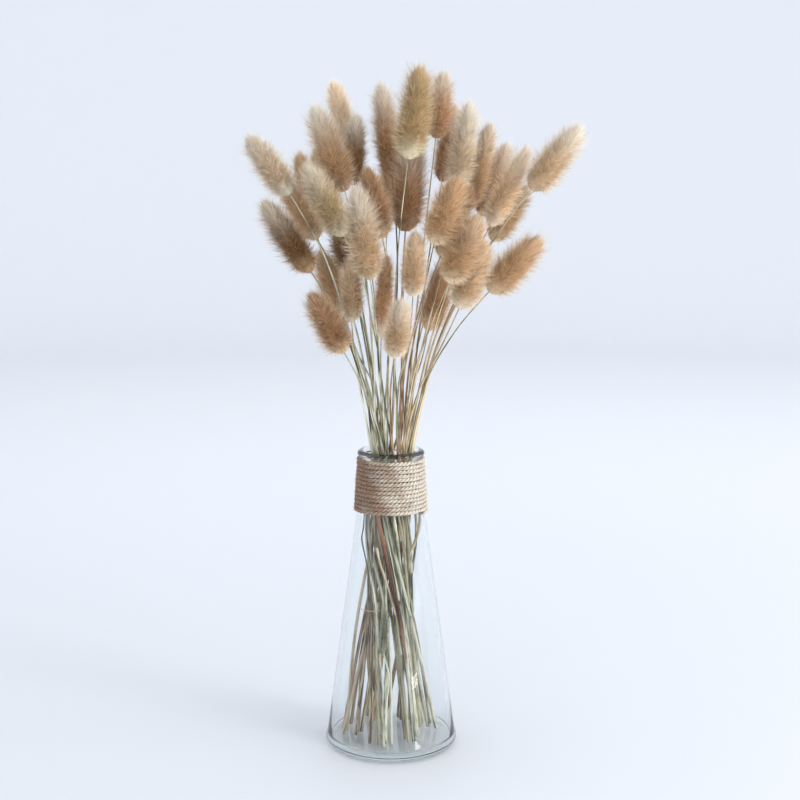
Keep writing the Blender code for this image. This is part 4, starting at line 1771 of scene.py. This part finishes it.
@dataclass
class Studio:
    """A pale table that sweeps up into a pale wall, soft daylight and the camera."""

    camera_place: Tuple[float, float, float] = (0.006, -0.94, 0.37)
    look_down: float = 8.3
    lens: float = 65.25
    sensor: float = 36.0
    floor_radius: float = 2.4
    sweep: float = 0.9
    wall_top: float = 2.2
    floor_steps: int = 96
    board_half_width: float = 1.5
    board_bottom: float = 0.02
    board_top: float = 1.5
    board_back: float = -2.3
    sky: Colour = (0.93, 0.965, 1.0)
    sky_strength: float = 0.93
    lamps: Tuple[Lamp, ...] = (
        Lamp("window", (1.55, -0.95, 0.8), (0, 0, 0.25), (0.5, 1.1), 10.0),
        Lamp("daylight", (1.6, -0.8, 0.6), (0, 0, 0.25), (1.8, 1.3), 22.0, mirrored=False),
        Lamp("room", (-0.4, -1.9, 0.35), (0, 0, 0.25), (1.8, 1.0), 12.0, mirrored=False),
        Lamp("pane", (0.28, -0.26, 0.021), (0.03, -0.03, 0.03), (0.085, 0.011), 0.028, lighting=False),
        Lamp("wall_wash", (0.3, 0.9, 1.3), (0.0, 2.2, 0.2), (2.4, 1.2), 7.0, (0.97, 0.97, 1.0),
             mirrored=False),
    )

    def build(self) -> None:
        """Make the floor, the lights and the camera."""
        self.add_camera()
        self.add_floor()
        self.add_dim_room()
        self.add_lights()
        bpy.context.scene.view_settings.view_transform = "Standard"

    def add_camera(self) -> None:
        """Stand the camera in front, level from side to side and tipped down a little."""
        data = bpy.data.cameras.new("camera")
        data.lens = self.lens
        data.sensor_width = self.sensor
        camera = bpy.data.objects.new("camera", data)
        camera.location = self.camera_place
        camera.rotation_euler = (math.radians(90 - self.look_down), 0.0, 0.0)
        bpy.context.scene.collection.objects.link(camera)
        bpy.context.scene.camera = camera

    def add_floor(self) -> None:
        """Turn the floor and the wall in one sweep."""
        bend = np.radians(np.linspace(0, 90, 13))
        radius = np.concatenate([[0.001, 0.3, 0.8, 1.6], self.floor_radius + self.sweep * np.sin(bend),
                                 [self.floor_radius + self.sweep]])
        height = np.concatenate([[0, 0, 0, 0], self.sweep * (1 - np.cos(bend)), [self.wall_top]])
        steps = self.floor_steps
        angle = around(steps)
        rows = len(radius)
        points = np.stack([radius[:, None] * np.cos(angle), radius[:, None] * np.sin(angle),
                           np.repeat(height[:, None], steps, axis=1)], axis=-1).reshape(-1, 3)
        draft = Draft()
        draft.add(points, [grid_faces(rows, steps, True)[:, ::-1]],
                  [grid_map(rows, steps, True, (0, 0, 1, 1))])
        floor = draft.build("floor", BoardFinish().make())

    def add_dim_room(self) -> None:
        """Stand a dark board behind the camera for the dim room: only a painted dark reflection in the glass.
        """
        half, back = self.board_half_width, self.board_back
        corners = np.array([(-half, back, self.board_bottom), (-half, back, self.board_top),
                            (half, back, self.board_top), (half, back, self.board_bottom)])
        shader = Shader("dark_room_reflection")
        draft = Draft()
        draft.add(corners, [np.array([[0, 3, 2, 1]])],
                  [np.array([[(0, 0), (1, 0), (1, 1), (0, 1)]], float)])
        board = draft.build("dark_reflection_board", shader.dress(base_color=(0.05, 0.05, 0.05, 1.0), roughness=0.8))
        for way in ("camera", "diffuse", "transmission", "volume_scatter", "shadow"):
            setattr(board, f"visible_{way}", False)

    def add_light(self, lamp: Lamp) -> None:
        """Add a soft rectangular light.

        Args:
            lamp: where it stands and what it does.
        """
        data = bpy.data.lights.new(lamp.name, "AREA")
        data.shape = "RECTANGLE"
        data.size, data.size_y = lamp.size
        data.energy = lamp.power
        data.color = lamp.colour
        light = bpy.data.objects.new(lamp.name, data)
        light.location = lamp.place
        light.visible_glossy = lamp.mirrored
        light.visible_diffuse = lamp.lighting
        light.visible_camera = False
        light.visible_transmission = False
        light.rotation_euler = (Vector(lamp.aim) - Vector(lamp.place)).to_track_quat("-Z", "Y").to_euler()
        bpy.context.scene.collection.objects.link(light)

    def add_lights(self) -> None:
        """Add daylight from a window to the right, and pale light from all round."""
        for lamp in self.lamps:
            self.add_light(lamp)
        world = bpy.data.worlds.new("room")
        world.use_nodes = True
        back = world.node_tree.nodes["Background"]
        back.inputs["Color"].default_value = (*self.sky, 1.0)
        back.inputs["Strength"].default_value = self.sky_strength
        bpy.context.scene.world = world


# ---------------------------------------------------------------- the whole


def build_bunch(frame: Dict[str, object]) -> List[bpy.types.Object]:
    """Dress every stalk of the frame, and add the loose straws.


    Returns:
        The stems, the heads and the loose pieces.
    """
    heads = {look: look.value.make() for look in Look}
    straws = {straw: straw.value.make() for straw in Straw}
    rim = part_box("glass_vase")[1].z
    made = []
    for number, habit in enumerate(HABITS, start=1):
        stalk = Stalk(number, habit)
        rng = np.random.default_rng(STALK_SEED + number)
        rings = stalk.rings(frame)
        for piece in (stalk.build_stem(rings, rng, rim, straws), stalk.build_head(rings, rng, heads)):
            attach(piece, BODY)
            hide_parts(stalk.node)
            frame["nodes"][stalk.node].data.materials[0].name
            made.append(piece)
    return made + LooseStraws().build(straws, heads)


def main() -> None:
    """Build the studio, the vase, the twine and the grass, and report each piece."""
    logging.basicConfig(level=logging.INFO, format="%(name)s: %(message)s")
    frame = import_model()
    Studio().build()
    pieces = [GlassVase().build(), TwineWrap().build()] + build_bunch(frame)
    for piece in pieces:
        LOG.info("%s: %d faces", piece.name, len(piece.data.polygons))


if __name__ == "__main__":
    main()
